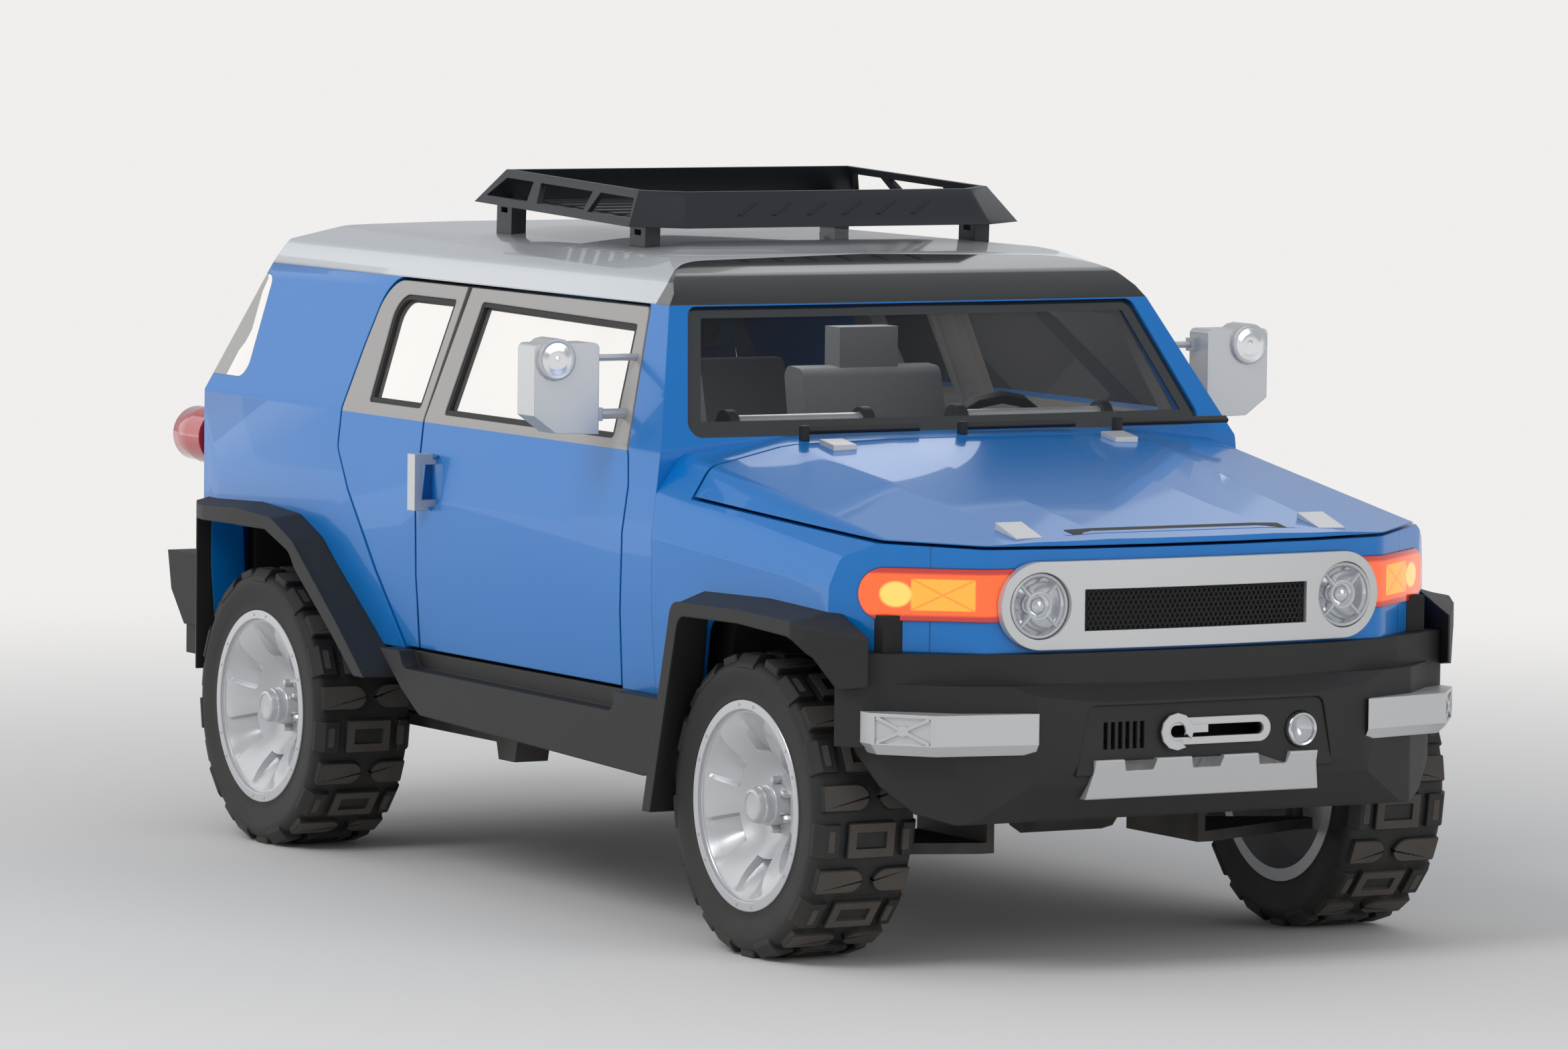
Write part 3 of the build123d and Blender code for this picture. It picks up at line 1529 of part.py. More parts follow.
def mitred_flat(section):
    # One flat of a turned shape, pushed along the tangent and mitred to meet its neighbours.
    reach = tyre_radius * 2
    spread = reach * math.tan(math.radians(flat_angle / 2))
    with BuildPart(mode=Mode.PRIVATE) as flat:
        with BuildSketch(Plane.XY):
            with BuildLine():
                Polyline(*section, close=True)
            make_face()
        extrude(amount=100, both=True)
        with BuildSketch(Plane.XZ):
            with BuildLine():
                Polyline((0, 0), (reach, -spread), (reach, spread), close=True)
            make_face()
        extrude(amount=tyre_width, both=True, mode=Mode.INTERSECT)
    return flat.part


def tread_flat(lugs):
    # Tyre flat with lugs raised from its tread.
    tread_plane = Plane(origin=(carcass_radius - 4, 0, 0), x_dir=(0, 1, 0), z_dir=(1, 0, 0))
    with BuildPart(mode=Mode.PRIVATE) as flat:
        add(mitred_flat(tyre_section))
        with BuildSketch(tread_plane):
            for corners in lugs:
                with BuildLine():
                    Polyline(*corners, close=True)
                make_face()
        extrude(amount=lug_height + 4)
    return flat.part


def turned(step):
    # Turn about the wheel's axis by whole flats; a tyre rests on the middle of a flat.
    return Location((0, 0, 0), (0, (step + 0.5) * flat_angle, 0))


bar_flat = tread_flat(bar_row)
pad_flat = tread_flat(pad_row)
rim_flat = mitred_flat(rim_section)
with BuildPart() as tyre_master:
    for step in range(0, 2 * tread_pitches, 2):
        add(bar_flat.moved(turned(step)))
        add(pad_flat.moved(turned(step + 1)))

# Wheel face: hub with its cap, and sunk pockets between six wide spokes
hub_flats = 12
spoke_count = 6
cap_y = spindle_end_y - wheel_centre_y + 22
rim_pocket = [(138, 5), (200, 5), (192, 52)]
with BuildPart() as rim_master:
    for step in range(2 * tread_pitches):
        add(rim_flat.moved(turned(step)))
    with BuildSketch(cross_plane(0, wheel_pad_y, 0)):
        RegularPolygon(hub_radius + 26, hub_flats)
    extrude(amount=30)
    with BuildSketch(cross_plane(0, wheel_pad_y, 0)):
        RegularPolygon(hub_radius, hub_flats)
    extrude(amount=cap_y - wheel_pad_y)
    with BuildSketch(cross_plane(0, back_y - 10, 0)):
        with PolarLocations(0, spoke_count):
            Polygon(*rim_pocket, align=None)
            Polygon(*[(u, -v) for u, v in rim_pocket], align=None)
    extrude(amount=rim_half, mode=Mode.SUBTRACT)
    with BuildSketch(cross_plane(0, wheel_pad_y - 60, 0)):
        Circle(spindle_radius + spindle_gap)
    extrude(amount=cap_y - 21 - wheel_pad_y + 60, mode=Mode.SUBTRACT)

for wheel_name, tyre_name, wheel_x in (
    ("front_wheel", "front_tyre", front_axle_x),
    ("rear_wheel", "rear_tyre", rear_axle_x),
):
    centre = Location((wheel_x, wheel_centre_y, axle_z))
    write_pair(rim_master.part.moved(centre), wheel_name)
    write_pair(tyre_master.part.moved(centre), tyre_name)

# Spare wheel on the tailgate, face outwards
spare_place = Location((rear_x - spare_gap - tyre_width / 2, 0, spare_z), (0, 0, 90))
write_piece(rim_master.part.moved(spare_place), "spare_wheel")
write_piece(tyre_master.part.moved(spare_place), "spare_tyre")

# Seats: cushions and leaning backs, with head rests in front
seat_base_z = floor_top_z + seat_gap
front_seat_x = front_axle_x - 1525
rear_seat_x = rear_axle_x + 335
seat_y = 370
seat_half = 230
cushion_top_z = seat_base_z + 230
with BuildPart() as seats:
    add(
        block(
            front_seat_x,
            front_seat_x + 440,
            seat_y - seat_half,
            seat_y + seat_half,
            seat_base_z,
            cushion_top_z,
        )
    )
    front_back = [
        (front_seat_x + 50, cushion_top_z - 20, 0),
        (front_seat_x - 80, 1340, 30),
        (front_seat_x - 180, 1350, 30),
        (front_seat_x - 90, cushion_top_z - 20, 0),
    ]
    add(side_prism(front_back, seat_y - seat_half + 15, seat_y + seat_half - 15))
    add(block(front_seat_x - 175, front_seat_x - 95, seat_y - 90, seat_y + 90, 1335, 1450))
    mirror(about=Plane.XZ)
    bench_half = 2 * seat_y - 200
    add(block(rear_seat_x, rear_seat_x + 380, -bench_half, bench_half, seat_base_z, cushion_top_z))
    rear_back = [
        (rear_seat_x + 60, cushion_top_z - 20, 0),
        (rear_seat_x - 20, 1320, 30),
        (rear_seat_x - 110, 1320, 30),
        (rear_seat_x - 50, cushion_top_z - 20, 0),
    ]
    add(side_prism(rear_back, -bench_half, bench_half))
write_piece(seats.part, "seats")

# Dash with the steering column, and the steering wheel
column_x = cowl_x - 340
column_z = 1090
steering_axis = Plane(origin=(column_x, seat_y, column_z), z_dir=(-0.9, 0, 0.436))
column_length = 90
dash_rear_x = cowl_x - end_wall - seat_gap
with BuildPart() as dash:
    dash_profile = [
        (dash_rear_x, 900, 0),
        (dash_rear_x, belt_z - 35, 0),
        (cowl_x - 300, belt_z - 35, 0),
        (cowl_x - 360, belt_z - 135, 0),
        (cowl_x - 300, 900, 0),
    ]
    dash_half = body_half_width - 167
    add(side_prism(dash_profile, -dash_half, dash_half))
    with BuildSketch(steering_axis):
        RegularPolygon(28, tube_flats)
    extrude(amount=column_length)
write_piece(dash.part, "dash")
with BuildPart() as steering_wheel:
    with BuildSketch(steering_axis.offset(column_length + 0.5)):
        Circle(44)
    extrude(amount=40)
    with BuildSketch(steering_axis.offset(column_length + 22)):
        RegularPolygon(190, 16)
        RegularPolygon(164, 16, mode=Mode.SUBTRACT)
        with PolarLocations(0, 3, start_angle=90):
            with Locations((100, 0)):
                Rectangle(130, 30)
    extrude(amount=24)
write_piece(steering_wheel.part, "steering_wheel")

# Roof rack, built level about its own middle and then tipped down a little at the front
rack_half_width = 590
rack_length = 934
rack_height = 90
rack_lean = 62
rack_wall = 16
rack_tilt = 2
rack_x = cowl_x - 1057
rack_z = 1762
rack_front = rack_length / 2
rack_rear = -rack_length / 2
slat_count = 9
slat_top = 12


def rack_frustum(low_z, high_z, low_inset, high_inset):
    # Solid between two plan outlines with chamfered front corners, leaning inwards.
    faces = []
    for z, rim in ((low_z, low_inset), (high_z, high_inset)):
        corners = [
            (rack_rear + rim, rack_half_width - rim, 0),
            (rack_front - 76 - rim, rack_half_width - rim, 0),
            (rack_front - rim, rack_half_width - 130 - rim * 0.5, 0),
        ]
        faces.append(outline(Plane.XY.offset(z), plan_outline(corners)))
    with BuildPart(mode=Mode.PRIVATE) as frustum:
        loft(faces, ruled=True)
    return frustum.part


# Side windows between slanted struts, as (foot rear, foot front, head front, head rear)
rack_windows = [
    (-424, -197, -225, -374),
    (-142, 113, 104, -183),
    (138, 370, 328, 146),
]
with BuildPart() as rack_basket:
    add(rack_frustum(0, rack_height, 0, rack_lean))
    add(
        rack_frustum(-5, rack_height + 5, rack_wall - 3, rack_lean + rack_wall + 3),
        mode=Mode.SUBTRACT,
    )
    for foot_rear, foot_front, head_front, head_rear in rack_windows:
        window = side_prism(
            [
                (foot_rear, 20, 0),
                (foot_front, 20, 0),
                (head_front, rack_height - 20, 0),
                (head_rear, rack_height - 20, 0),
            ],
            -rack_half_width - 10,
            rack_half_width + 10,
        )
        add(window, mode=Mode.SUBTRACT)
    slat_end_y = rack_half_width - 18
    slat_pitch = (rack_length - 200) / (slat_count - 1)
    with BuildSketch(Plane.XY):
        with Locations((-10, 0)):
            with GridLocations(slat_pitch, 1, slat_count, 1):
                Rectangle(44, 2 * slat_end_y)
    extrude(amount=slat_top - 4)
    with BuildSketch(Plane.XY):
        with Locations((-10, 0)):
            with GridLocations(slat_pitch, 1, slat_count, 1):
                Rectangle(44, 2 * (rack_half_width - 120))
    extrude(amount=slat_top)
    # Feet with a slot through each
    with BuildSketch(Plane.XY.offset(2)):
        with Locations((rack_front - 150, 0), (rack_rear + 44, 0)):
            with GridLocations(1, 2 * (rack_half_width - 90), 1, 2):
                Rectangle(84, 44)
    extrude(amount=-90)
    with BuildSketch(Plane.XZ):
        with Locations((rack_front - 150, -20), (rack_rear + 44, -20)):
            Rectangle(36, 14)
    extrude(amount=rack_half_width, both=True, mode=Mode.SUBTRACT)
rack_place = Location((rack_x, 0, rack_z), (0, rack_tilt, 0))
with BuildPart() as roof_rack:
    add(rack_basket.part.moved(rack_place))
    add(cabin_outer.part, mode=Mode.SUBTRACT)
with BuildPart() as rack_node:
    add(roof_rack.part.solids().sort_by(SortBy.VOLUME)[-1])
write_piece(rack_node.part, "roof_rack")

# Door mirrors on two arms, each with a lamp pod, and the door's grip
mirror_x = front_door_hinge_x - 100
mirror_y = body_half_width + 32
mirror_head = [
    (mirror_y, belt_z + 31, 0),
    (mirror_y + 122, belt_z + 35, 0),
    (mirror_y + 186, belt_z + 81, 0),
    (mirror_y + 186, belt_z + 264, 16),
    (mirror_y, belt_z + 264, 16),
]
mirror_arms = (
    (mirror_x - 24, belt_z + 221, body_half_width - 142, 9),
    (mirror_x + 22, belt_z + 81, body_half_width - 82, 13),
)
pod_radius = 54
handle_face_y = body_half_width + 40
with BuildPart() as door_mirror:
    add(rear_prism(mirror_head, mirror_x - 45, mirror_x + 45))
    with BuildSketch(Plane.YZ.offset(mirror_x - 30)):
        with Locations((mirror_y + 126, belt_z + 224)):
            RegularPolygon(pod_radius, 16)
    extrude(amount=84)
    for arm_x, arm_z, arm_y, arm_radius in mirror_arms:
        with BuildSketch(cross_plane(arm_x, arm_y, arm_z)):
            RegularPolygon(arm_radius, tube_flats)
        extrude(amount=mirror_y + 6 - arm_y)
        with BuildSketch(cross_plane(arm_x, mirror_y - 16, arm_z)):
            Rectangle(30, 34)
        extrude(amount=20)
    add(front_door_solid, mode=Mode.SUBTRACT)
with BuildPart() as door_handle:
    for low_z, high_z in (
        (handle_low_z, handle_low_z + 28),
        (handle_high_z - 28, handle_high_z),
    ):
        add(block(handle_x, handle_x + 42, body_half_width - 30, handle_face_y, low_z, high_z))
    add(
        block(
            handle_x,
            handle_x + 42,
            handle_face_y - 22,
            handle_face_y,
            handle_low_z,
            handle_high_z,
        )
    )
    add(front_door_solid, mode=Mode.SUBTRACT)
with BuildPart() as door_fittings:
    add(door_mirror.part.solids().sort_by(SortBy.VOLUME)[-1])
    add(door_handle.part.solids().sort_by(SortBy.VOLUME)[-1])
write_pair(door_fittings.part, "door_fittings")

# Tail lamps: a turned base ring and dome on each rear corner
tail_y = body_half_width - 100
tail_z = 1078
tail_profile = [
    (rear_x + 30, 0),
    (rear_x + 30, 80),
    (rear_x - 60, 80),
    (rear_x - 60, 76),
    (rear_x - 140, 76),
    (rear_x - 200, 44),
    (rear_x - 226, 0),
]
with BuildPart() as tail_lamps:
    with BuildSketch(Plane(origin=(0, tail_y, tail_z), x_dir=(1, 0, 0), z_dir=(0, 0, 1))):
        with BuildLine():
            Polyline(*tail_profile, close=True)
        make_face()
    revolve(axis=Axis((0, tail_y, tail_z), (1, 0, 0)))
    add(body_shell.part, mode=Mode.SUBTRACT)
    add(tailgate_opening, mode=Mode.SUBTRACT)
    add(cabin_inner.part, mode=Mode.SUBTRACT)
    mirror(about=Plane.XZ)
write_piece(tail_lamps.part, "tail_lamps")

# Rear bumper: low beam across the tail, with silver corners and the exhaust's end behind
rear_beam_x = rear_x - 80
rear_beam_top_z = sill_z - 30
rear_corner_inner_y = 650
with BuildPart() as rear_bumper:
    add(
        block(
            rear_beam_x,
            rear_x - seat_gap,
            -body_half_width + 40,
            body_half_width - 40,
            470,
            rear_beam_top_z,
        )
    )
    corner_outline = [
        (rear_x - 4, rear_beam_top_z - 20, 0),
        (rear_x - seat_gap, 749, 0),
        (rear_x - 185, 749, 0),
        (rear_x - 162, 642, 0),
        (rear_beam_x, rear_beam_top_z - 20, 0),
    ]
    corner = side_prism(corner_outline, rear_corner_inner_y, body_half_width - 32)
    add(corner)
    add(mirrored(corner))
write_piece(rear_bumper.part, "rear_bumper")

# Plates on the hood and wipers on the cowl
with BuildPart() as hood_plates:
    latch_plate = [
        (nose_x - 178, hood_front_z - 24, 0),
        (nose_x - 178, hood_front_z + 46, 0),
        (nose_x - 76, hood_front_z + 14, 0),
        (nose_x - 76, hood_front_z - 24, 0),
    ]
    add(side_prism(latch_plate, 402, 478))
    hinge_plate = [
        (hood_rear_x + 12, cowl_z - 51, 0),
        (hood_rear_x + 12, cowl_z - 7, 0),
        (hood_rear_x + 84, cowl_z - 18, 0),
        (hood_rear_x + 84, cowl_z - 51, 0),
    ]
    add(side_prism(hinge_plate, 385, 453))
    add(hood.part, mode=Mode.SUBTRACT)
    add(nose_outer, mode=Mode.SUBTRACT)
    mirror(about=Plane.XZ)
write_piece(hood_plates.part, "hood_plates")
with BuildPart() as wipers:
    for y in (-467, 0, 467):
        with BuildSketch(Plane.XY.offset(cowl_z - 46)):
            with Locations((cowl_x + 45, y)):
                RegularPolygon(14, tube_flats)
        extrude(amount=70)
        arm_plane = Plane(
            origin=(cowl_x + 39, y + 10, cowl_z + 11), x_dir=(0, 1, 0), z_dir=(0.54, 0, 0.84)
        )
        with Locations(arm_plane):
            Box(330, 18, 10, align=(Align.MIN, Align.CENTER, Align.CENTER))
    add(nose_outer, mode=Mode.SUBTRACT)
write_piece(wipers.part, "wipers")
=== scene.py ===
import functools
import math

import bmesh
import bpy
from mathutils import Matrix, Vector
from mathutils.bvhtree import BVHTree


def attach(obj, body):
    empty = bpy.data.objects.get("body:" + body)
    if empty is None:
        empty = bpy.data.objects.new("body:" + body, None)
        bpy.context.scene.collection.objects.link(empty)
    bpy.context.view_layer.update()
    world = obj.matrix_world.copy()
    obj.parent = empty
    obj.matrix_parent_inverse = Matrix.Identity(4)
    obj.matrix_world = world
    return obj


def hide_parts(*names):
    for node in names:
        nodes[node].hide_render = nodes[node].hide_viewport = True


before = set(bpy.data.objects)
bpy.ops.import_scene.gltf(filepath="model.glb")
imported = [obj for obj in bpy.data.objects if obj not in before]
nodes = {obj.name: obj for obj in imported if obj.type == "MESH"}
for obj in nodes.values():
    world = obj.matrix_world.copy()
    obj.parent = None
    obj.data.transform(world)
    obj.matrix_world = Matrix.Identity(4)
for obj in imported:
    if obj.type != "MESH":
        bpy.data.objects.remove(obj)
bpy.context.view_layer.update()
print("frame loaded:", len(nodes), "nodes")


# Helpers for objects and nodes


def newObject(name, data):
    made = bpy.data.objects.new(name, data)
    bpy.context.scene.collection.objects.link(made)
    return made


def setInputs(node, values):
    for key, value in values.items():
        node.inputs[key].default_value = (*value, 1) if isinstance(value, tuple) else value


# Camera and light

# Angles in degrees, the yaw from +X towards +Y; focal length and sensor width in mm
cameraSettings = {
    "place": (20.546, -11.790, 2.815),
    "yaw": 150.16,
    "pitch": -4.52,
    "roll": 0.67,
    "focal": 205.7,
    "sensor": 36,
    "reach": 200,
}


def makeCamera(settings):
    yaw, pitch, roll = (math.radians(settings[k]) for k in ("yaw", "pitch", "roll"))
    ahead = Vector((math.cos(pitch) * math.cos(yaw), math.cos(pitch) * math.sin(yaw), math.sin(pitch)))
    right = ahead.cross(Vector((0, 0, 1))).normalized()
    up = right.cross(ahead)
    turnedRight = right * math.cos(roll) + up * math.sin(roll)
    turnedUp = up * math.cos(roll) - right * math.sin(roll)
    data = bpy.data.cameras.new("camera")
    data.lens = settings["focal"]
    data.sensor_width = settings["sensor"]
    data.clip_end = settings["reach"]
    camera = newObject("camera", data)
    axes = Matrix((turnedRight, turnedUp, -ahead)).transposed()
    camera.matrix_world = Matrix.Translation(settings["place"]) @ axes.to_4x4()
    bpy.context.scene.camera = camera


# The sky that lights and reflects, the backdrop that the camera sees, and the lamps, aimed at the origin
lightSettings = {
    "sky": 0.52,
    "skyColor": (0.95, 0.97, 1.0),
    "shown": (0.87, 0.86, 0.85),
    "key": {"place": (3.0, -9.0, 9.5), "size": 6.0, "power": 430},
    "side": {"place": (-12.0, -8.0, 4.5), "size": 14.0, "power": 320},
    "fill": {"place": (13.0, 5.0, 5.0), "size": 7.0, "power": 230},
    "rim": {"place": (-6.0, 9.0, 8.0), "size": 9.0, "power": 120},
    "cab": {"place": (-0.1, 0.0, 1.53), "size": 1.2, "power": 8},
}


def makeLights(settings):
    world = bpy.data.worlds.new("studio")
    bpy.context.scene.world = world
    world.use_nodes = True
    tree = world.node_tree
    tree.nodes.clear()
    out = tree.nodes.new("ShaderNodeOutputWorld")
    shown = tree.nodes.new("ShaderNodeBackground")
    setInputs(shown, {"Color": settings["shown"], "Strength": 1.0})
    lit = tree.nodes.new("ShaderNodeBackground")
    setInputs(lit, {"Color": settings["skyColor"], "Strength": settings["sky"]})
    path = tree.nodes.new("ShaderNodeLightPath")
    seen = tree.nodes.new("ShaderNodeMath")
    seen.operation = "MAXIMUM"
    mix = tree.nodes.new("ShaderNodeMixShader")
    link = tree.links.new
    link(path.outputs["Is Camera Ray"], seen.inputs[0])
    link(path.outputs["Is Transmission Ray"], seen.inputs[1])
    link(seen.outputs[0], mix.inputs[0])
    link(lit.outputs[0], mix.inputs[1])
    link(shown.outputs[0], mix.inputs[2])
    link(mix.outputs[0], out.inputs["Surface"])
    for name in ("key", "side", "fill", "rim", "cab"):
        lamp = settings[name]
        data = bpy.data.lights.new(name, "AREA")
        data.shape = "DISK"
        data.size = lamp["size"]
        data.energy = lamp["power"]
        light = newObject(name, data)
        place = Vector(lamp["place"])
        aim = (-place).to_track_quat("-Z", "Y").to_matrix().to_4x4()
        light.matrix_world = Matrix.Translation(place) @ aim


floorSettings = {
    "reach": 60.0,
    "color": (0.8, 0.79, 0.775),
    "roughness": 0.95,
    "specular": 0.1,
    "fadeStart": 2.4,
    "fadeEnd": 9.0,
}


def makeFloor(settings):
    # Flat floor that runs out far enough to meet the pale sky at the horizon
    mesh = bpy.data.meshes.new("floor")
    reach = settings["reach"]
    corners = [(-reach, -reach, 0), (reach, -reach, 0), (reach, reach, 0), (-reach, reach, 0)]
    mesh.from_pydata(corners, [], [(0, 1, 2, 3)])
    floor = newObject("floor", mesh)
    material = bpy.data.materials.new("floorPaper")
    material.use_nodes = True
    tree = material.node_tree
    shader = tree.nodes["Principled BSDF"]
    setInputs(shader, {"Base Color": settings["color"], "Roughness": settings["roughness"],
                       "Specular IOR Level": settings["specular"]})
    # Away from the object the floor takes the tone of the sky, so that no edge shows
    far = tree.nodes.new("ShaderNodeEmission")
    setInputs(far, {"Color": lightSettings["shown"]})
    coords = tree.nodes.new("ShaderNodeTexCoord")
    length = tree.nodes.new("ShaderNodeVectorMath")
    length.operation = "LENGTH"
    fade = tree.nodes.new("ShaderNodeMapRange")
    fade.interpolation_type = "SMOOTHSTEP"
    setInputs(fade, {"From Min": settings["fadeStart"], "From Max": settings["fadeEnd"]})
    mix = tree.nodes.new("ShaderNodeMixShader")
    link = tree.links.new
    link(coords.outputs["Object"], length.inputs[0])
    link(length.outputs["Value"], fade.inputs["Value"])
    link(fade.outputs["Result"], mix.inputs[0])
    link(shader.outputs[0], mix.inputs[1])
    link(far.outputs[0], mix.inputs[2])
    link(mix.outputs[0], tree.nodes["Material Output"].inputs["Surface"])
    mesh.materials.append(material)


makeCamera(cameraSettings)
makeLights(lightSettings)
makeFloor(floorSettings)
bpy.context.scene.view_settings.view_transform = "Standard"
print("camera, lights and floor made")


# Shared shader groups


def newGroup(name, inputs, outputs):
    # Shader group whose sockets are all numbers
    group = bpy.data.node_groups.new(name, "ShaderNodeTree")
    for socketName, value in inputs.items():
        socket = group.interface.new_socket(socketName, in_out="INPUT", socket_type="NodeSocketFloat")
        socket.default_value = value
    for socketName in outputs:
        group.interface.new_socket(socketName, in_out="OUTPUT", socket_type="NodeSocketFloat")
    start = group.nodes.new("NodeGroupInput")
    end = group.nodes.new("NodeGroupOutput")
    return group, start, end


def mathNode(tree, operation, a, b=0.0, clamp=False):
    # Math node whose inputs are numbers or sockets
    node = tree.nodes.new("ShaderNodeMath")
    node.operation = operation
    node.use_clamp = clamp
    for i, value in enumerate((a, b)):
        if isinstance(value, (int, float)):
            node.inputs[i].default_value = value
        else:
            tree.links.new(value, node.inputs[i])
    return node.outputs[0]


def objectAxes(group):
    # Object coordinates, whole and split into axes
    coords = group.nodes.new("ShaderNodeTexCoord").outputs["Object"]
    split = group.nodes.new("ShaderNodeSeparateXYZ")
    group.links.new(coords, split.inputs[0])
    return coords, split.outputs


def noiseNode(group, coords, **values):
    noise = group.nodes.new("ShaderNodeTexNoise")
    setInputs(noise, values)
    group.links.new(coords, noise.inputs["Vector"])
    return noise


grainSettings = {"detail": 3.0, "slowScale": 2.3, "slowDetail": 4.0}


def makeGrainGroup(settings):
    # Fine moulded or cast grain as a height, with a slow change of tone
    group, start, end = newGroup("grain", {"Scale": 400.0, "Tone": 0.1}, ["Height", "Shade"])
    coords, _ = objectAxes(group)
    fine = noiseNode(group, coords, Detail=settings["detail"])
    slow = noiseNode(group, coords, Detail=settings["slowDetail"], Scale=settings["slowScale"])
    group.links.new(start.outputs["Scale"], fine.inputs["Scale"])
    centred = mathNode(group, "SUBTRACT", slow.outputs["Fac"], 0.5)
    spread = mathNode(group, "MULTIPLY", centred, start.outputs["Tone"])
    group.links.new(fine.outputs["Fac"], end.inputs["Height"])
    group.links.new(mathNode(group, "ADD", spread, 1.0), end.inputs["Shade"])
    return group


dustSettings = {"scale": 9.0, "detail": 6.0, "color": (0.33, 0.29, 0.24)}


def makeDustGroup(settings):
    # Dust that thickens towards the ground and in patches, as a mask from 0 to 1
    group, start, end = newGroup("dust", {"Amount": 0.3, "Top": 0.8}, ["Mask"])
    coords, axes = objectAxes(group)
    fall = group.nodes.new("ShaderNodeMapRange")
    setInputs(fall, {"From Min": 0.0, "To Min": 1.0, "To Max": 0.0})
    patches = noiseNode(group, coords, Detail=settings["detail"], Scale=settings["scale"])
    group.links.new(axes["Z"], fall.inputs["Value"])
    group.links.new(start.outputs["Top"], fall.inputs["From Max"])
    low = mathNode(group, "MULTIPLY", fall.outputs["Result"], patches.outputs["Fac"])
    dusty = mathNode(group, "MULTIPLY", low, start.outputs["Amount"], clamp=True)
    group.links.new(dusty, end.inputs["Mask"])
    return group


heightSettings = {"sharpness": 800.0}


def makeHeightGroup(settings):
    # 1 above a height of the object, with a short soft edge
    group, start, end = newGroup("aboveHeight", {"Height": 1.2}, ["Mask"])
    _, axes = objectAxes(group)
    over = mathNode(group, "SUBTRACT", axes["Z"], start.outputs["Height"])
    mask = mathNode(group, "MULTIPLY", over, settings["sharpness"], clamp=True)
    group.links.new(mask, end.inputs["Mask"])
    return group


borderSettings = {"openingFoot": 1.246, "sharpness": 400.0}


def makeBorderGroup(settings):
    # Black edge of the windscreen, whose sides lean inwards with height
    inputs = {"Foot": 1.285, "Head": 1.535, "Half Width": 0.728, "Lean": 0.3375}
    group, start, end = newGroup("glassBorder", inputs, ["Mask"])
    calc = functools.partial(mathNode, group)
    _, axes = objectAxes(group)
    rise = calc("SUBTRACT", axes["Z"], settings["openingFoot"])
    lean = calc("MULTIPLY", rise, start.outputs["Lean"])
    limit = calc("SUBTRACT", start.outputs["Half Width"], lean)
    side = calc("SUBTRACT", calc("ABSOLUTE", axes["Y"]), limit)
    low = calc("SUBTRACT", start.outputs["Foot"], axes["Z"])
    high = calc("SUBTRACT", axes["Z"], start.outputs["Head"])
    over = calc("MAXIMUM", side, calc("MAXIMUM", low, high))
    group.links.new(calc("MULTIPLY", over, settings["sharpness"], clamp=True), end.inputs["Mask"])
    return group


# Sizes in metres, and how sharply each edge falls off
turnLampSettings = {
    "bulbRadius": 0.034,
    "bulbSharpness": 160.0,
    "halfWidth": 0.064,
    "halfHeight": 0.04,
    "plateSharpness": 300.0,
    "crossSlope": 0.62,
    "crossSharpness": 220.0,
    "crossDepth": 0.55,
    "rimStart": 0.047,
    "rimSharpness": 140.0,
}


def makeLampGroup(settings):
    # Lit turn lamp: a round bulb and a crossed reflector, by sideways distance and height
    inputs = {"Middle": 0.932, "Bulb": 0.752, "Reflector": 0.66}
    group, start, end = newGroup("litLamp", inputs, ["Bulb", "Reflector", "Rim"])
    calc = functools.partial(mathNode, group)

    def within(limit, distance, sharpness):
        return calc("MULTIPLY", calc("SUBTRACT", limit, distance), settings[sharpness], clamp=True)

    _, axes = objectAxes(group)
    side = calc("ABSOLUTE", axes["Y"])
    rise = calc("SUBTRACT", axes["Z"], start.outputs["Middle"])
    height = calc("ABSOLUTE", rise)
    across = calc("SUBTRACT", side, start.outputs["Bulb"])
    radius = calc("SQRT", calc("ADD", calc("MULTIPLY", across, across), calc("MULTIPLY", rise, rise)))
    bulb = within(settings["bulbRadius"], radius, "bulbSharpness")
    fromMiddle = calc("ABSOLUTE", calc("SUBTRACT", side, start.outputs["Reflector"]))
    wide = within(settings["halfWidth"], fromMiddle, "plateSharpness")
    tall = within(settings["halfHeight"], height, "plateSharpness")
    slanted = calc("MULTIPLY", fromMiddle, settings["crossSlope"])
    diagonal = calc("ABSOLUTE", calc("SUBTRACT", slanted, height))
    cross = calc("MULTIPLY", diagonal, settings["crossSharpness"], clamp=True)
    shade = calc("ADD", calc("MULTIPLY", cross, settings["crossDepth"]), 1 - settings["crossDepth"])
    plate = calc("MULTIPLY", calc("MULTIPLY", wide, tall), shade)
    beyond = calc("SUBTRACT", height, settings["rimStart"])
    rim = calc("MULTIPLY", beyond, settings["rimSharpness"], clamp=True)
    for name, value in (("Bulb", bulb), ("Reflector", plate), ("Rim", rim)):
        group.links.new(value, end.inputs[name])
    return group


grainGroup = makeGrainGroup(grainSettings)
dustGroup = makeDustGroup(dustSettings)
heightGroup = makeHeightGroup(heightSettings)
borderGroup = makeBorderGroup(borderSettings)
lampGroup = makeLampGroup(turnLampSettings)


# Finishes


def groupNode(tree, group, **values):
    node = tree.nodes.new("ShaderNodeGroup")
    node.node_tree = group
    setInputs(node, values)
    return node


def mixColor(tree, factor, a, b, blend="MIX"):
    # Colour mix whose factor and colours are values or sockets
    node = tree.nodes.new("ShaderNodeMix")
    node.data_type = "RGBA"
    node.blend_type = blend
    for key, value in (("Factor", factor), ("A", a), ("B", b)):
        if isinstance(value, (tuple, float)):
            setInputs(node, {key: value})
        else:
            tree.links.new(value, node.inputs[key])
    return node.outputs["Result"]


surfaceSettings = {"coatRoughness": 0.03, "grainHeight": 0.001, "edgeSamples": 4, "glassSpecular": 0.8}


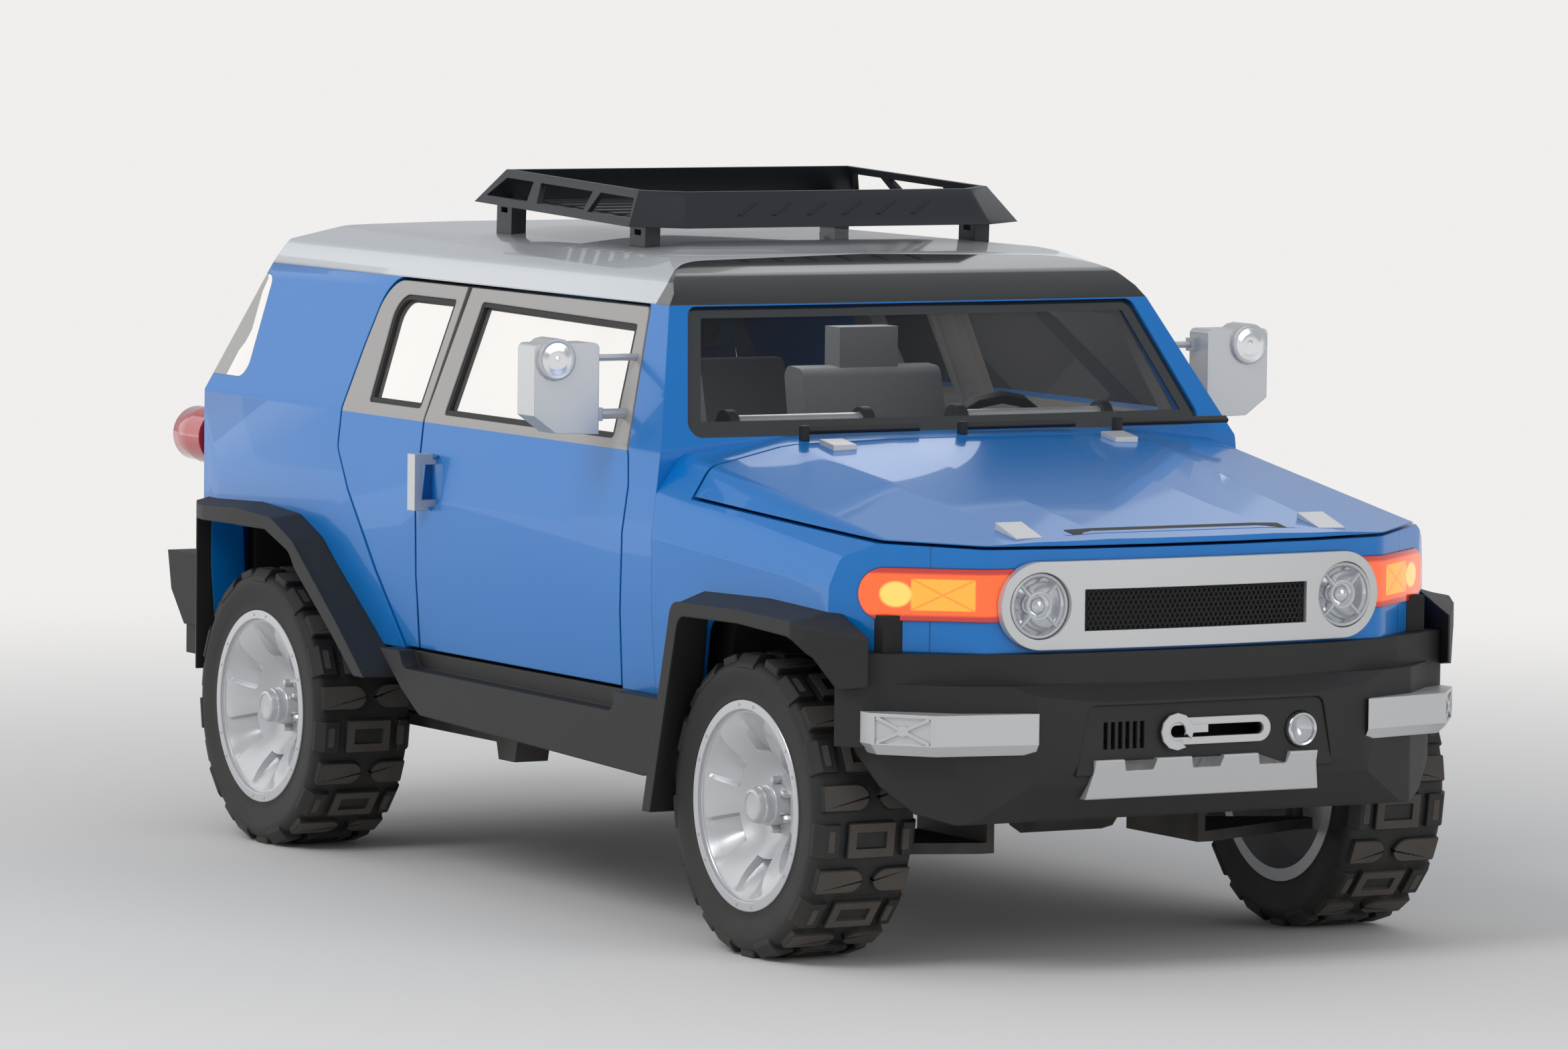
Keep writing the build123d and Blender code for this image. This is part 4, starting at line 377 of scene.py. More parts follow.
def finish(name, color, roughness=0.5, metallic=0.0, coat=0.0, grain=0.0, grainScale=400.0, tone=0.1,
           dust=0.0, dustTop=0.8, sheen=0.0, specular=0.5, edge=0.003, upper=None, upperHeight=1.2):
    # Opaque finish with its own grain, slow shading, softened edges and dust
    material = bpy.data.materials.new(name)
    material.use_nodes = True
    tree = material.node_tree
    link = tree.links.new
    shader = tree.nodes["Principled BSDF"]
    setInputs(shader, {"Metallic": metallic, "Roughness": roughness, "Specular IOR Level": specular,
                       "Coat Weight": coat, "Coat Roughness": surfaceSettings["coatRoughness"],
                       "Sheen Weight": sheen})
    texture = groupNode(tree, grainGroup, Scale=grainScale, Tone=tone)
    base = tree.nodes.new("ShaderNodeRGB")
    base.outputs[0].default_value = (*color, 1)
    shown = base.outputs[0]
    if upper:
        mask = groupNode(tree, heightGroup, Height=upperHeight)
        shown = mixColor(tree, mask.outputs["Mask"], shown, upper)
    shown = mixColor(tree, 1.0, shown, texture.outputs["Shade"], "MULTIPLY")
    if dust:
        veil = groupNode(tree, dustGroup, Amount=dust, Top=dustTop)
        shown = mixColor(tree, veil.outputs["Mask"], shown, dustSettings["color"])
    link(shown, shader.inputs["Base Color"])
    soft = tree.nodes.new("ShaderNodeBevel")
    soft.samples = surfaceSettings["edgeSamples"]
    setInputs(soft, {"Radius": edge})
    bump = tree.nodes.new("ShaderNodeBump")
    setInputs(bump, {"Strength": grain, "Distance": surfaceSettings["grainHeight"]})
    link(texture.outputs["Height"], bump.inputs["Height"])
    link(soft.outputs[0], bump.inputs["Normal"])
    link(bump.outputs[0], shader.inputs["Normal"])
    return material


def glassFinish(name, color, alpha, roughness=0.02, metallic=0.0, border=False):
    # Thin tinted pane, seen through by its alpha, with a black border where asked
    material = bpy.data.materials.new(name)
    material.use_nodes = True
    tree = material.node_tree
    shader = tree.nodes["Principled BSDF"]
    setInputs(shader, {"Roughness": roughness, "Metallic": metallic, "Alpha": alpha,
                       "Specular IOR Level": surfaceSettings["glassSpecular"]})
    texture = groupNode(tree, grainGroup, Scale=30.0, Tone=0.15)
    tint = mixColor(tree, 1.0, color, texture.outputs["Shade"], "MULTIPLY")
    tree.links.new(tint, shader.inputs["Base Color"])
    if border:
        mask = groupNode(tree, borderGroup).outputs["Mask"]
        shown = mathNode(tree, "MAXIMUM", mask, alpha)
        tree.links.new(shown, shader.inputs["Alpha"])
    return material


litSettings = {
    "lens": (0.85, 0.1, 0.004),
    "rim": (0.4, 0.008, 0.004),
    "reflector": (1.0, 0.36, 0.02),
    "bulb": (1.0, 0.55, 0.1),
    "strength": 0.55,
}


def litFinish(name, settings):
    # Orange lens with a lit bulb, a crossed reflector and a redder rim
    material = finish(name, settings["lens"], 0.12, coat=1.0, tone=0.15, edge=0.006)
    tree = material.node_tree
    shader = tree.nodes["Principled BSDF"]
    parts = groupNode(tree, lampGroup)
    lens = mixColor(tree, parts.outputs["Rim"], settings["lens"], settings["rim"])
    lens = mixColor(tree, parts.outputs["Reflector"], lens, settings["reflector"])
    lens = mixColor(tree, parts.outputs["Bulb"], lens, settings["bulb"])
    tree.links.new(lens, shader.inputs["Base Color"])
    tree.links.new(lens, shader.inputs["Emission Color"])
    setInputs(shader, {"Emission Strength": settings["strength"]})
    return material


bodyBlue = {"color": (0.0, 0.19, 0.6), "roughness": 0.3, "metallic": 0.1, "coat": 0.45, "specular": 0.3,
            "tone": 0.05, "edge": 0.006}
# Colour, roughness and metallic first; the rest by name
solidFinishes = {
    "silverRoof": ((0.62, 0.65, 0.68), 0.34, 0.3, {"coat": 0.8, "tone": 0.05, "edge": 0.01}),
    "pianoBlack": ((0.008, 0.009, 0.011), 0.1, 0.0, {"coat": 0.8, "tone": 0.1, "edge": 0.006}),
    "rackCoat": ((0.02, 0.024, 0.03), 0.4, 0.2, {"grain": 0.25, "grainScale": 900.0}),
    "satinSilver": ((0.62, 0.63, 0.64), 0.34, 0.45, {"grain": 0.08, "grainScale": 1400.0, "tone": 0.06}),
    "brightMetal": ((0.7, 0.71, 0.72), 0.16, 1.0, {"tone": 0.05, "edge": 0.001}),
    "blackPlastic": ((0.012, 0.0125, 0.0135), 0.55, 0.0,
                     {"grain": 0.35, "grainScale": 1100.0, "dust": 0.06, "edge": 0.006}),
    "blackRubber": ((0.01, 0.01, 0.011), 0.55, 0.0, {"grain": 0.2, "grainScale": 800.0, "edge": 0.001}),
    "darkPanel": ((0.015, 0.015, 0.016), 0.8, 0.0, {"grain": 0.2, "dust": 0.3}),
    "chassisPaint": ((0.02, 0.02, 0.021), 0.6, 0.0, {"grain": 0.3, "dust": 0.5}),
    "castMetal": ((0.16, 0.16, 0.165), 0.6, 0.7, {"grain": 0.5, "grainScale": 500.0, "dust": 0.3}),
    "redLens": ((0.5, 0.01, 0.012), 0.12, 0.0, {"coat": 1.0, "tone": 0.15, "edge": 0.006}),
    "seatCloth": ((0.07, 0.074, 0.082), 0.9, 0.0, {"grain": 0.6, "grainScale": 700.0, "sheen": 0.3}),
    "wheelSilver": ((0.62, 0.63, 0.65), 0.3, 0.5, {"coat": 0.3, "grain": 0.06, "grainScale": 1200.0,
                                                   "tone": 0.06, "dust": 0.08, "edge": 0.002}),
    "tyreRubber": ((0.011, 0.011, 0.0115), 0.6, 0.0,
                   {"grain": 0.5, "grainScale": 350.0, "dust": 0.12, "dustTop": 0.7, "edge": 0.002}),
    "treadFace": ((0.06, 0.052, 0.046), 0.85, 0.0,
                  {"grain": 0.9, "grainScale": 260.0, "tone": 0.6, "dust": 0.3, "edge": 0.001}),
    "bowl": ((0.75, 0.77, 0.8), 0.12, 1.0, {"tone": 0.2, "edge": 0.001}),
}
finishes = {name: finish(name, *values, **more) for name, (*values, more) in solidFinishes.items()}
finishes["bluePaint"] = finish("bluePaint", **bodyBlue)
finishes["doorPaint"] = finish("doorPaint", upper=(0.36, 0.345, 0.33), upperHeight=1.207, **bodyBlue)
finishes["orangeLens"] = litFinish("orangeLens", litSettings)
finishes["clearGlass"] = glassFinish("clearGlass", (0.02, 0.024, 0.026), 0.14, border=True)
finishes["mirrorGlass"] = glassFinish("mirrorGlass", (0.86, 0.83, 0.79), 0.96, metallic=0.9)
finishes["lampGlass"] = glassFinish("lampGlass", (0.8, 0.85, 0.9), 0.22)

# A star stands for left and right
nodeFinishes = {
    "bluePaint": ["body_shell", "front_wings", "hood", "tailgate", "nose_panel"],
    "doorPaint": ["front_door_*", "rear_door_*"],
    "silverRoof": ["roof"],
    "pianoBlack": ["windscreen_header"],
    "rackCoat": ["roof_rack"],
    "satinSilver": ["bumper_trim", "grille_surround", "hood_plates", "door_fittings_*"],
    "blackPlastic": ["front_bumper", "rear_bumper", "fender_flares", "rockers", "winch_panel", "grille_mesh",
                     "dash", "wipers", "steering_wheel"],
    "darkPanel": ["inner_panels"],
    "chassisPaint": ["chassis_frame", "front_axle", "front_suspension", "knuckle_*", "rear_axle",
                     "rear_suspension"],
    "castMetal": ["engine_block"],
    "orangeLens": ["turn_lamps"],
    "redLens": ["tail_lamps"],
    "seatCloth": ["seats"],
    "wheelSilver": ["front_wheel_*", "rear_wheel_*", "spare_wheel"],
    "tyreRubber": ["front_tyre_*", "rear_tyre_*", "spare_tyre"],
    "clearGlass": ["fixed_glass"],
    "mirrorGlass": ["front_door_glass_*", "rear_door_glass_*", "tailgate_glass"],
    "lampGlass": ["front_lamps"],
}

finished = 0
for finishName, names in nodeFinishes.items():
    for nodeName in sorted({name.replace("*", side) for name in names for side in ("left", "right")}):
        nodes[nodeName].data.materials.clear()
        nodes[nodeName].data.materials.append(finishes[finishName])
        finished += 1

# The quarter glass belongs to the same piece as the windscreen, but it mirrors like the side windows
fixedGlass = nodes["fixed_glass"].data
fixedGlass.materials.append(finishes["mirrorGlass"])
for polygon in fixedGlass.polygons:
    polygon.material_index = 1 if polygon.center.x < 0 else 0
print("finishes set on", finished, "nodes")


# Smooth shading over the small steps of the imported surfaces

smoothSettings = {"angle": 32.0, "weld": 0.00002}


def makeSmoothTree(settings):
    tree = bpy.data.node_groups.new("smoothByAngle", "GeometryNodeTree")
    tree.interface.new_socket("Geometry", in_out="INPUT", socket_type="NodeSocketGeometry")
    limit = tree.interface.new_socket("Angle", in_out="INPUT", socket_type="NodeSocketFloat")
    limit.default_value = math.radians(settings["angle"])
    tree.interface.new_socket("Geometry", in_out="OUTPUT", socket_type="NodeSocketGeometry")
    start = tree.nodes.new("NodeGroupInput")
    end = tree.nodes.new("NodeGroupOutput")
    weld = tree.nodes.new("GeometryNodeMergeByDistance")
    setInputs(weld, {"Distance": settings["weld"]})
    faces = tree.nodes.new("GeometryNodeSetShadeSmooth")
    edges = tree.nodes.new("GeometryNodeSetShadeSmooth")
    edges.domain = "EDGE"
    angle = tree.nodes.new("GeometryNodeInputMeshEdgeAngle")
    sharp = tree.nodes.new("FunctionNodeCompare")
    sharp.data_type = "FLOAT"
    sharp.operation = "GREATER_THAN"
    setInputs(edges, {"Shade Smooth": False})
    link = tree.links.new
    link(start.outputs["Geometry"], weld.inputs["Geometry"])
    link(weld.outputs["Geometry"], faces.inputs["Geometry"])
    link(faces.outputs["Geometry"], edges.inputs["Geometry"])
    link(angle.outputs["Unsigned Angle"], sharp.inputs["A"])
    link(start.outputs["Angle"], sharp.inputs["B"])
    link(sharp.outputs["Result"], edges.inputs["Selection"])
    link(edges.outputs["Geometry"], end.inputs["Geometry"])
    return tree


smoothTree = makeSmoothTree(smoothSettings)
for node in nodes.values():
    node.modifiers.new("smooth", "NODES").node_group = smoothTree
print("smooth shading set")


# Mesh helpers


def newPiece(name, bm, materials, smooth=35.0):
    # Object at the origin from a bmesh, with normals outward and smooth shading
    bmesh.ops.recalc_face_normals(bm, faces=bm.faces)
    mesh = bpy.data.meshes.new(name)
    bm.to_mesh(mesh)
    bm.free()
    for material in materials:
        mesh.materials.append(finishes[material])
    for polygon in mesh.polygons:
        polygon.use_smooth = True
    mesh.set_sharp_from_angle(angle=math.radians(smooth))
    return newObject(name, mesh)


def placedCopy(name, source, matrix, flip=False):
    # Copy of a piece with its mesh moved, mirrored meshes turned outward again
    mesh = source.data.copy()
    mesh.transform(matrix)
    if flip:
        mesh.flip_normals()
    return newObject(name, mesh)


def bridgeRings(bm, rings, material=0):
    # Quads between successive rings of vertices
    for low, high in zip(rings, rings[1:]):
        for i in range(len(low)):
            j = (i + 1) % len(low)
            bm.faces.new((low[i], low[j], high[j], high[i])).material_index = material


def lathe(bm, profile, segments, matrix=Matrix.Identity(4), material=0, capEnds=False):
    # Turned shape about local Y from (radius, y) points
    rings = []
    for radius, y in profile:
        ring = []
        for i in range(segments):
            angle = 2 * math.pi * i / segments
            point = Vector((radius * math.cos(angle), y, radius * math.sin(angle)))
            ring.append(bm.verts.new(matrix @ point))
        rings.append(ring)
    bridgeRings(bm, rings, material)
    if capEnds:
        for ring in (rings[0], rings[-1]):
            bm.faces.new(ring).material_index = material
    return rings


def roundedRect(halfU, halfV, radii, steps=5):
    # Outline of a rectangle with its own radius at each corner, from the first quadrant on
    points = []
    signs = ((1, 1), (-1, 1), (-1, -1), (1, -1))
    for (signU, signV), radius, start in zip(signs, radii, (0, 90, 180, 270)):
        radius = max(radius, 0.0002)
        for i in range(steps + 1):
            angle = math.radians(start + 90 * i / steps)
            points.append((signU * (halfU - radius) + radius * math.cos(angle),
                           signV * (halfV - radius) + radius * math.sin(angle)))
    return points


# Tyres: smooth carcass with shoulder blocks, ring blocks and pills in the places of the solid's lugs

# Radii and sideways places in metres; a lug is its middle, half sizes and corner radii, seen from above
tyreSettings = {
    "segments": 96,
    "pitches": 11,
    "carcass": 0.3632,
    "carcassHalf": 0.06,
    "floor": 0.352,
    "top": 0.3768,
    "sidewall": [(0.2446, 0.1252), (0.252, 0.1305), (0.262, 0.1335), (0.266, 0.1365), (0.27, 0.1352),
                 (0.29, 0.1388), (0.31, 0.1412), (0.326, 0.1428), (0.336, 0.1432), (0.345, 0.1412),
                 (0.354, 0.1355), (0.3605, 0.127), (0.3628, 0.115)],
    "chamfer": 0.0025,
    "sunk": 0.007,
    "shoulder": [(0.355, 0.08), (0.3745, 0.08), (0.3768, 0.0825), (0.3768, 0.1225), (0.3735, 0.1275),
                 (0.352, 0.1434), (0.343, 0.1439), (0.34, 0.141), (0.345, 0.13)],
    "shoulderHalf": 0.042,
    "shoulderShift": 0.018,
    "shoulderEdge": (0.002, 0.0015),
    "inset": {"middle": 0.105, "half": (0.011, 0.029), "floor": 0.375, "rise": 0.0012},
    "ringBlock": {"middle": -0.0085, "half": (0.0665, 0.045), "hole": 0.024},
    "pills": [(0.063, (0.065, 0.033)), (-0.079, (0.049, 0.033))],
    "corner": 0.006,
    "round": 0.036,
}


def addLug(bm, settings, turn, middle, half, radii, floor, top, hole=None):
    # Raised block on a flat of the tread, with a chamfered edge and an optional sunk middle
    chamfer = settings["chamfer"]
    steps = [(-0.001, floor, 0), (0.0, top - chamfer, 0), (chamfer, top, 1)]
    if hole:
        steps += [(hole, top, 1), (hole + chamfer, top - settings["sunk"], 0)]
    rings = []
    for inset, height, _ in steps:
        outline = roundedRect(half[0] - inset, half[1] - inset, [radius - inset for radius in radii])
        rings.append([bm.verts.new(turn @ Vector((height, middle + u, v))) for u, v in outline])
    for k, (low, high) in enumerate(zip(rings, rings[1:])):
        bridgeRings(bm, [low, high], 1 if steps[k][2] and steps[k + 1][2] else 0)
    bm.faces.new(rings[-1]).material_index = 0 if hole else 1


def addShoulder(bm, settings, turn, side):
    # Block that wraps from the tread over the shoulder; on one side it starts further out
    half, section = settings["shoulderHalf"], settings["shoulder"]
    edge, chamfer = settings["shoulderEdge"]
    if side < 0:
        section = [(r, y if y > 0.09 else y + settings["shoulderShift"]) for r, y in section]
    rings = []
    for along in (-half, -half + edge, half - edge, half):
        inset = chamfer if abs(along) == half else 0.0
        points = [Vector((r - inset, side * (y - inset), along)) for r, y in section]
        rings.append([bm.verts.new(turn @ point) for point in points])
    bridgeRings(bm, rings)
    for ring in (rings[0], rings[-1]):
        bm.faces.new(ring)


def makeTyre(settings):
    bm = bmesh.new()
    side, carcass, half = settings["sidewall"], settings["carcass"], settings["carcassHalf"]
    profile = side + [(carcass, half), (carcass, 0.0), (carcass, -half)]
    profile += [(radius, -y) for radius, y in reversed(side)]
    rings = lathe(bm, profile, settings["segments"])
    bridgeRings(bm, [rings[-1], rings[0]])
    floor, top = settings["floor"], settings["top"]
    corner, curve = settings["corner"], settings["round"]
    inset, ringBlock = settings["inset"], settings["ringBlock"]
    step = 2 * math.pi / settings["pitches"]
    for pitch in range(settings["pitches"]):
        # Quarter turns of a pitch put the rows on the solid's flats
        bars = Matrix.Rotation((pitch + 0.25) * step, 4, "Y")
        pads = Matrix.Rotation((pitch + 0.75) * step, 4, "Y")
        for sign in (-1, 1):
            addShoulder(bm, settings, bars, sign)
            addLug(bm, settings, bars, sign * inset["middle"], inset["half"], [corner] * 4, inset["floor"],
                   top + inset["rise"])
        addLug(bm, settings, bars, ringBlock["middle"], ringBlock["half"], [corner] * 4, floor, top,
               ringBlock["hole"])
        for (middle, size), radii in zip(settings["pills"], ([corner, curve, curve, corner],
                                                             [curve, corner, corner, curve])):
            addLug(bm, settings, pads, middle, size, radii, floor, top)
    return newPiece("tyreModel", bm, ["tyreRubber", "treadFace"], 30.0)


# Wheels: turned barrel, dished face with six wide spokes and sunk pockets, bolts, nuts and cap

# Profiles are (radius, y) from the rim inwards; angles in degrees from the middle of a pocket
wheelSettings = {
    "segments": 96,
    "barrel": [(0.2385, 0.1365), (0.2405, 0.138), (0.261, 0.138), (0.2628, 0.1362), (0.2625, 0.134),
               (0.2438, 0.1268), (0.2438, -0.1268), (0.2625, -0.134), (0.2628, -0.1375), (0.23, -0.1375),
               (0.2245, -0.06), (0.222, -0.034), (0.15, 0.016), (0.03, 0.016)],
    "dish": [(0.2385, 0.1365), (0.237, 0.129), (0.2345, 0.1265), (0.231, 0.1262), (0.222, 0.1245),
             (0.208, 0.121), (0.19, 0.1145), (0.17, 0.104), (0.152, 0.092), (0.139, 0.082), (0.1345, 0.0785),
             (0.12, 0.0665), (0.105, 0.055), (0.09, 0.0455), (0.075, 0.0405), (0.06, 0.04), (0.03, 0.04)],
    "spokes": 6,
    "angles": [-30, -25, -20, -16.2, -14.2, -9, -4, 0, 4, 9, 14.2, 16.2, 20, 25],
    "pocketOuter": 0.231,
    "pocketInner": 0.139,
    "pocketDepth": 0.05,
    "pocketHalf": 14.2,
    "pocketCurve": 0.8,
    "pocketRise": 0.35,
    "rimBolt": {"radius": 0.2505, "y": 0.138, "size": 0.0036, "height": 0.0028, "sides": 8},
    "rimBoltOffset": 0.14,
    "nut": {"radius": 0.062, "y": 0.042, "size": 0.0105, "height": 0.02, "sides": 6},
    "hub": [(0.0, 0.016), (0.052, 0.016), (0.052, 0.075), (0.05, 0.078), (0.044, 0.08), (0.043, 0.112),
            (0.04, 0.118), (0.033, 0.12), (0.032, 0.1175), (0.0, 0.1165)],
    "capRing": [(0.0435, 0.092), (0.0465, 0.094), (0.0465, 0.1), (0.0435, 0.102)],
    "hubSegments": 48,
}


def wheelFaceHeight(settings, radius, y, angle):
    # The pockets lie midway between the spokes and deepen towards the hub
    outer, inner, half = settings["pocketOuter"], settings["pocketInner"], settings["pocketHalf"]
    if abs(angle) <= half and inner <= radius < outer:
        share = (outer - radius) / (outer - inner)
        ridge = 1.0 - settings["pocketRise"] * abs(angle) / half
        return y - settings["pocketDepth"] * share ** settings["pocketCurve"] * ridge
    return y


def addBolt(bm, bolt, angle):
    # Chamfered bolt head standing on the face
    radius, y, size, height = (bolt[key] for key in ("radius", "y", "size", "height"))
    middle = Vector((radius * math.cos(angle), 0, radius * math.sin(angle)))
    profile = [(size, y - 0.004), (size, y + height * 0.75), (size * 0.75, y + height)]
    lathe(bm, profile, bolt["sides"], Matrix.Translation(middle), 1, capEnds=True)


def makeWheel(settings):
    bm = bmesh.new()
    lathe(bm, settings["barrel"], settings["segments"])
    spoke = 360 / settings["spokes"]
    rings = []
    for radius, y in settings["dish"]:
        ring = []
        for k in range(settings["spokes"]):
            for angle in settings["angles"]:
                turn = math.radians(spoke * (k + 0.5) + angle)
                height = wheelFaceHeight(settings, radius, y, angle)
                ring.append(bm.verts.new((radius * math.cos(turn), height, radius * math.sin(turn))))
        rings.append(ring)
    bridgeRings(bm, rings)
    # Rim bolts in pairs by each pocket, six nuts in the well, and the hub with its cap
    for k in range(settings["spokes"]):
        middle = math.radians(spoke * (k + 0.5))
        for sign in (-1, 1):
            addBolt(bm, settings["rimBolt"], middle + sign * settings["rimBoltOffset"])
        addBolt(bm, settings["nut"], middle)
    lathe(bm, settings["hub"], settings["hubSegments"])
    lathe(bm, settings["capRing"], settings["hubSegments"], material=1)
    return newPiece("wheelModel", bm, ["wheelSilver", "brightMetal"], 28.0)


tyreModel = makeTyre(tyreSettings)
wheelModel = makeWheel(wheelSettings)
axleSettings = {"front": 1.415, "rear": -1.275, "halfTrack": 0.78, "height": 0.377, "spare": (-1.956, 0, 1.0)}
mirrorY = Matrix.Scale(-1, 4, Vector((0, 1, 0)))
for axle in ("front", "rear"):
    for side, sideName in ((1, "left"), (-1, "right")):
        place = (axleSettings[axle], side * axleSettings["halfTrack"], axleSettings["height"])
        matrix = Matrix.Translation(place) @ (mirrorY if side < 0 else Matrix.Identity(4))
        for kind, model in (("wheel", wheelModel), ("tyre", tyreModel)):
            nodeName = f"{axle}_{kind}_{sideName}"
            piece = placedCopy(nodeName + "_form", model, matrix, side < 0)
            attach(piece, f"{axle}_wheel_{sideName}")
            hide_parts(nodeName)
spareTurn = Matrix.Translation(axleSettings["spare"]) @ Matrix.Rotation(math.radians(90), 4, "Z")
for nodeName, model in (("spare_wheel", wheelModel), ("spare_tyre", tyreModel)):
    piece = placedCopy(nodeName + "_form", model, spareTurn)
    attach(piece, "tailgate")
    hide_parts(nodeName)
bpy.data.objects.remove(tyreModel)
bpy.data.objects.remove(wheelModel)
print("wheels and tyres made")


# Head lamps: bowl, crossed brackets with a ring and a bulb, and a domed lens

# Profiles are (radius, depth), with depth growing forwards
headLampSettings = {
    "place": (2.018, 0.441, 0.906),
    "bowl": [(0.0805, -0.004), (0.0765, -0.006), (0.068, -0.022), (0.045, -0.04), (0.02, -0.05),
             (0.0, -0.052)],
    "rim": [(0.0805, -0.02), (0.0805, 0.0), (0.077, 0.003), (0.072, 0.0), (0.072, -0.008)],
    "ring": [(0.028, -0.004), (0.03, -0.001), (0.035, -0.001), (0.037, -0.004), (0.035, -0.008),
             (0.03, -0.008)],
    "bulb": [(0.0, 0.0), (0.01, -0.001), (0.019, -0.006), (0.024, -0.016), (0.024, -0.045)],
    "bar": [(0.034, -0.0045), (0.0745, -0.0035), (0.0745, 0.0035), (0.034, 0.0045)],
    "barDepths": (-0.012, -0.002),
    "barTaper": 0.6,
    "dome": [(0.0, 0.012), (0.02, 0.0115), (0.04, 0.0095), (0.058, 0.006), (0.07, 0.002), (0.073, -0.002)],
}


def lampMatrix(x, y, z):
    # Local Y looks forward
    return Matrix.Translation((x, y, z)) @ Matrix.Rotation(math.radians(-90), 4, "Z")


def makeHeadLamps(settings):
    inner = bmesh.new()
    lens = bmesh.new()
    x, y, z = settings["place"]
    back, front = settings["barDepths"]
    for side in (-1, 1):
        place = lampMatrix(x, side * y, z)
        lathe(inner, settings["bowl"], 48, place, 0)
        lathe(inner, settings["rim"], 48, place, 1)
        rings = lathe(inner, settings["ring"], 40, place, 1)
        bridgeRings(inner, [rings[-1], rings[0]], 1)
        lathe(inner, settings["bulb"], 32, place, 2)
        for turn in range(4):
            turned = place @ Matrix.Rotation(math.radians(90 * turn + 45), 4, "Y")
            low = [inner.verts.new(turned @ Vector((u, back, v))) for u, v in settings["bar"]]
            high = [inner.verts.new(turned @ Vector((u, front, v * settings["barTaper"])))
                    for u, v in settings["bar"]]
            bridgeRings(inner, [low, high], 1)
            inner.faces.new(high).material_index = 1
        lathe(lens, settings["dome"], 48, place)
    innerPiece = newPiece("head_lamp_inner", inner, ["bowl", "satinSilver", "brightMetal"], 40.0)
    lensPiece = newPiece("head_lamp_lens", lens, ["lampGlass"], 60.0)
    return innerPiece, lensPiece


fogLampSettings = {
    "place": (2.0905, 0.276, 0.584),
    "bowl": [(0.043, -0.026), (0.043, 0.004), (0.04, 0.008), (0.035, 0.006), (0.034, -0.002), (0.02, -0.014),
             (0.0, -0.018)],
    "lens": [(0.0, 0.004), (0.014, 0.002), (0.026, -0.002), (0.034, -0.0015)],
    "segments": 40,
}


def makeFogLamp(settings):
    bm = bmesh.new()
    place = lampMatrix(*settings["place"])
    lathe(bm, settings["bowl"], settings["segments"], place, 0)
    lathe(bm, settings["lens"], settings["segments"], place, 1)
    return newPiece("fog_lamp", bm, ["brightMetal", "lampGlass"], 40.0)


headInner, headLens = makeHeadLamps(headLampSettings)
fogLamp = makeFogLamp(fogLampSettings)
for piece in (headInner, headLens, fogLamp):
    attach(piece, "body")
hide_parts("front_lamps")
print("front lamps made")


# Windows: black seals just inside the openings of the doors

sealSettings = {"wide": 0.013, "out": -0.003, "in": -0.013, "arc": 5}

# Corners of each opening as (x, z, radius), anticlockwise
doorWindows = {
    "front_door": [(-0.331, 1.232, 0.012), (0.6, 1.232, 0.012), (0.514, 1.516, 0.012),
                   (-0.342, 1.528, 0.012)],
    "rear_door": [(-0.77, 1.24, 0.012), (-0.47, 1.24, 0.012), (-0.486, 1.526, 0.012), (-0.822, 1.526, 0.06)],
}


def roundedOutline(corners, inset, arc):
    # Outline of an anticlockwise convex polygon with its own radius at each corner, moved inwards
    count = len(corners)
    lines = []
    for i in range(count):
        a, b = Vector(corners[i][:2]), Vector(corners[(i + 1) % count][:2])
        along = (b - a).normalized()
        lines.append((a, along, Vector((-along.y, along.x))))
    points = []
    for i in range(count):
        (a, alongA, inA), (b, alongB, inB) = lines[i - 1], lines[i]
        radius = max(corners[i][2] - inset, 0.001)
        # Centre of the arc: where the two edges meet, both moved inwards
        startA, startB = a + inA * (inset + radius), b + inB * (inset + radius)
        cross = alongA.x * alongB.y - alongA.y * alongB.x
        gap = startB - startA
        centre = startA + alongA * ((gap.x * alongB.y - gap.y * alongB.x) / cross)
        first, last = math.atan2(-inA.y, -inA.x), math.atan2(-inB.y, -inB.x)
        turn = (last - first) % (2 * math.pi)
        for k in range(arc + 1):
            angle = first + turn * k / arc
            points.append((centre.x + radius * math.cos(angle), centre.y + radius * math.sin(angle)))
    return points


# The side above the belt leans inwards
skinSettings = {"belt": 1.215, "beltHalfWidth": 0.858, "lean": 0.4023}


def sideSkin(z):
    return skinSettings["beltHalfWidth"] - (z - skinSettings["belt"]) * skinSettings["lean"]


def makeSeal(name, corners, side, settings):
    bm = bmesh.new()
    rings = []
    for inset, depth in ((0.0, "in"), (0.0, "out"), (settings["wide"], "out"), (settings["wide"], "in")):
        outline = roundedOutline(corners, inset, settings["arc"])
        rings.append([bm.verts.new((x, side * (sideSkin(z) + settings[depth]), z)) for x, z in outline])
    bridgeRings(bm, rings + [rings[0]])
    return newPiece(name, bm, ["blackRubber"])


for side, sideName in ((1, "left"), (-1, "right")):
    for door, corners in doorWindows.items():
        seal = makeSeal(f"{door}_seal_{sideName}", corners, side, sealSettings)
        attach(seal, f"{door}_{sideName}")
print("window seals made")


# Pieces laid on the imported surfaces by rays


def surfaceTree(name):
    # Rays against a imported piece
    mesh = nodes[name].data
    points = [vertex.co.copy() for vertex in mesh.vertices]
    return BVHTree.FromPolygons(points, [list(polygon.vertices) for polygon in mesh.polygons])


stripSettings = {"sunk": -0.002, "flat": 0.8}


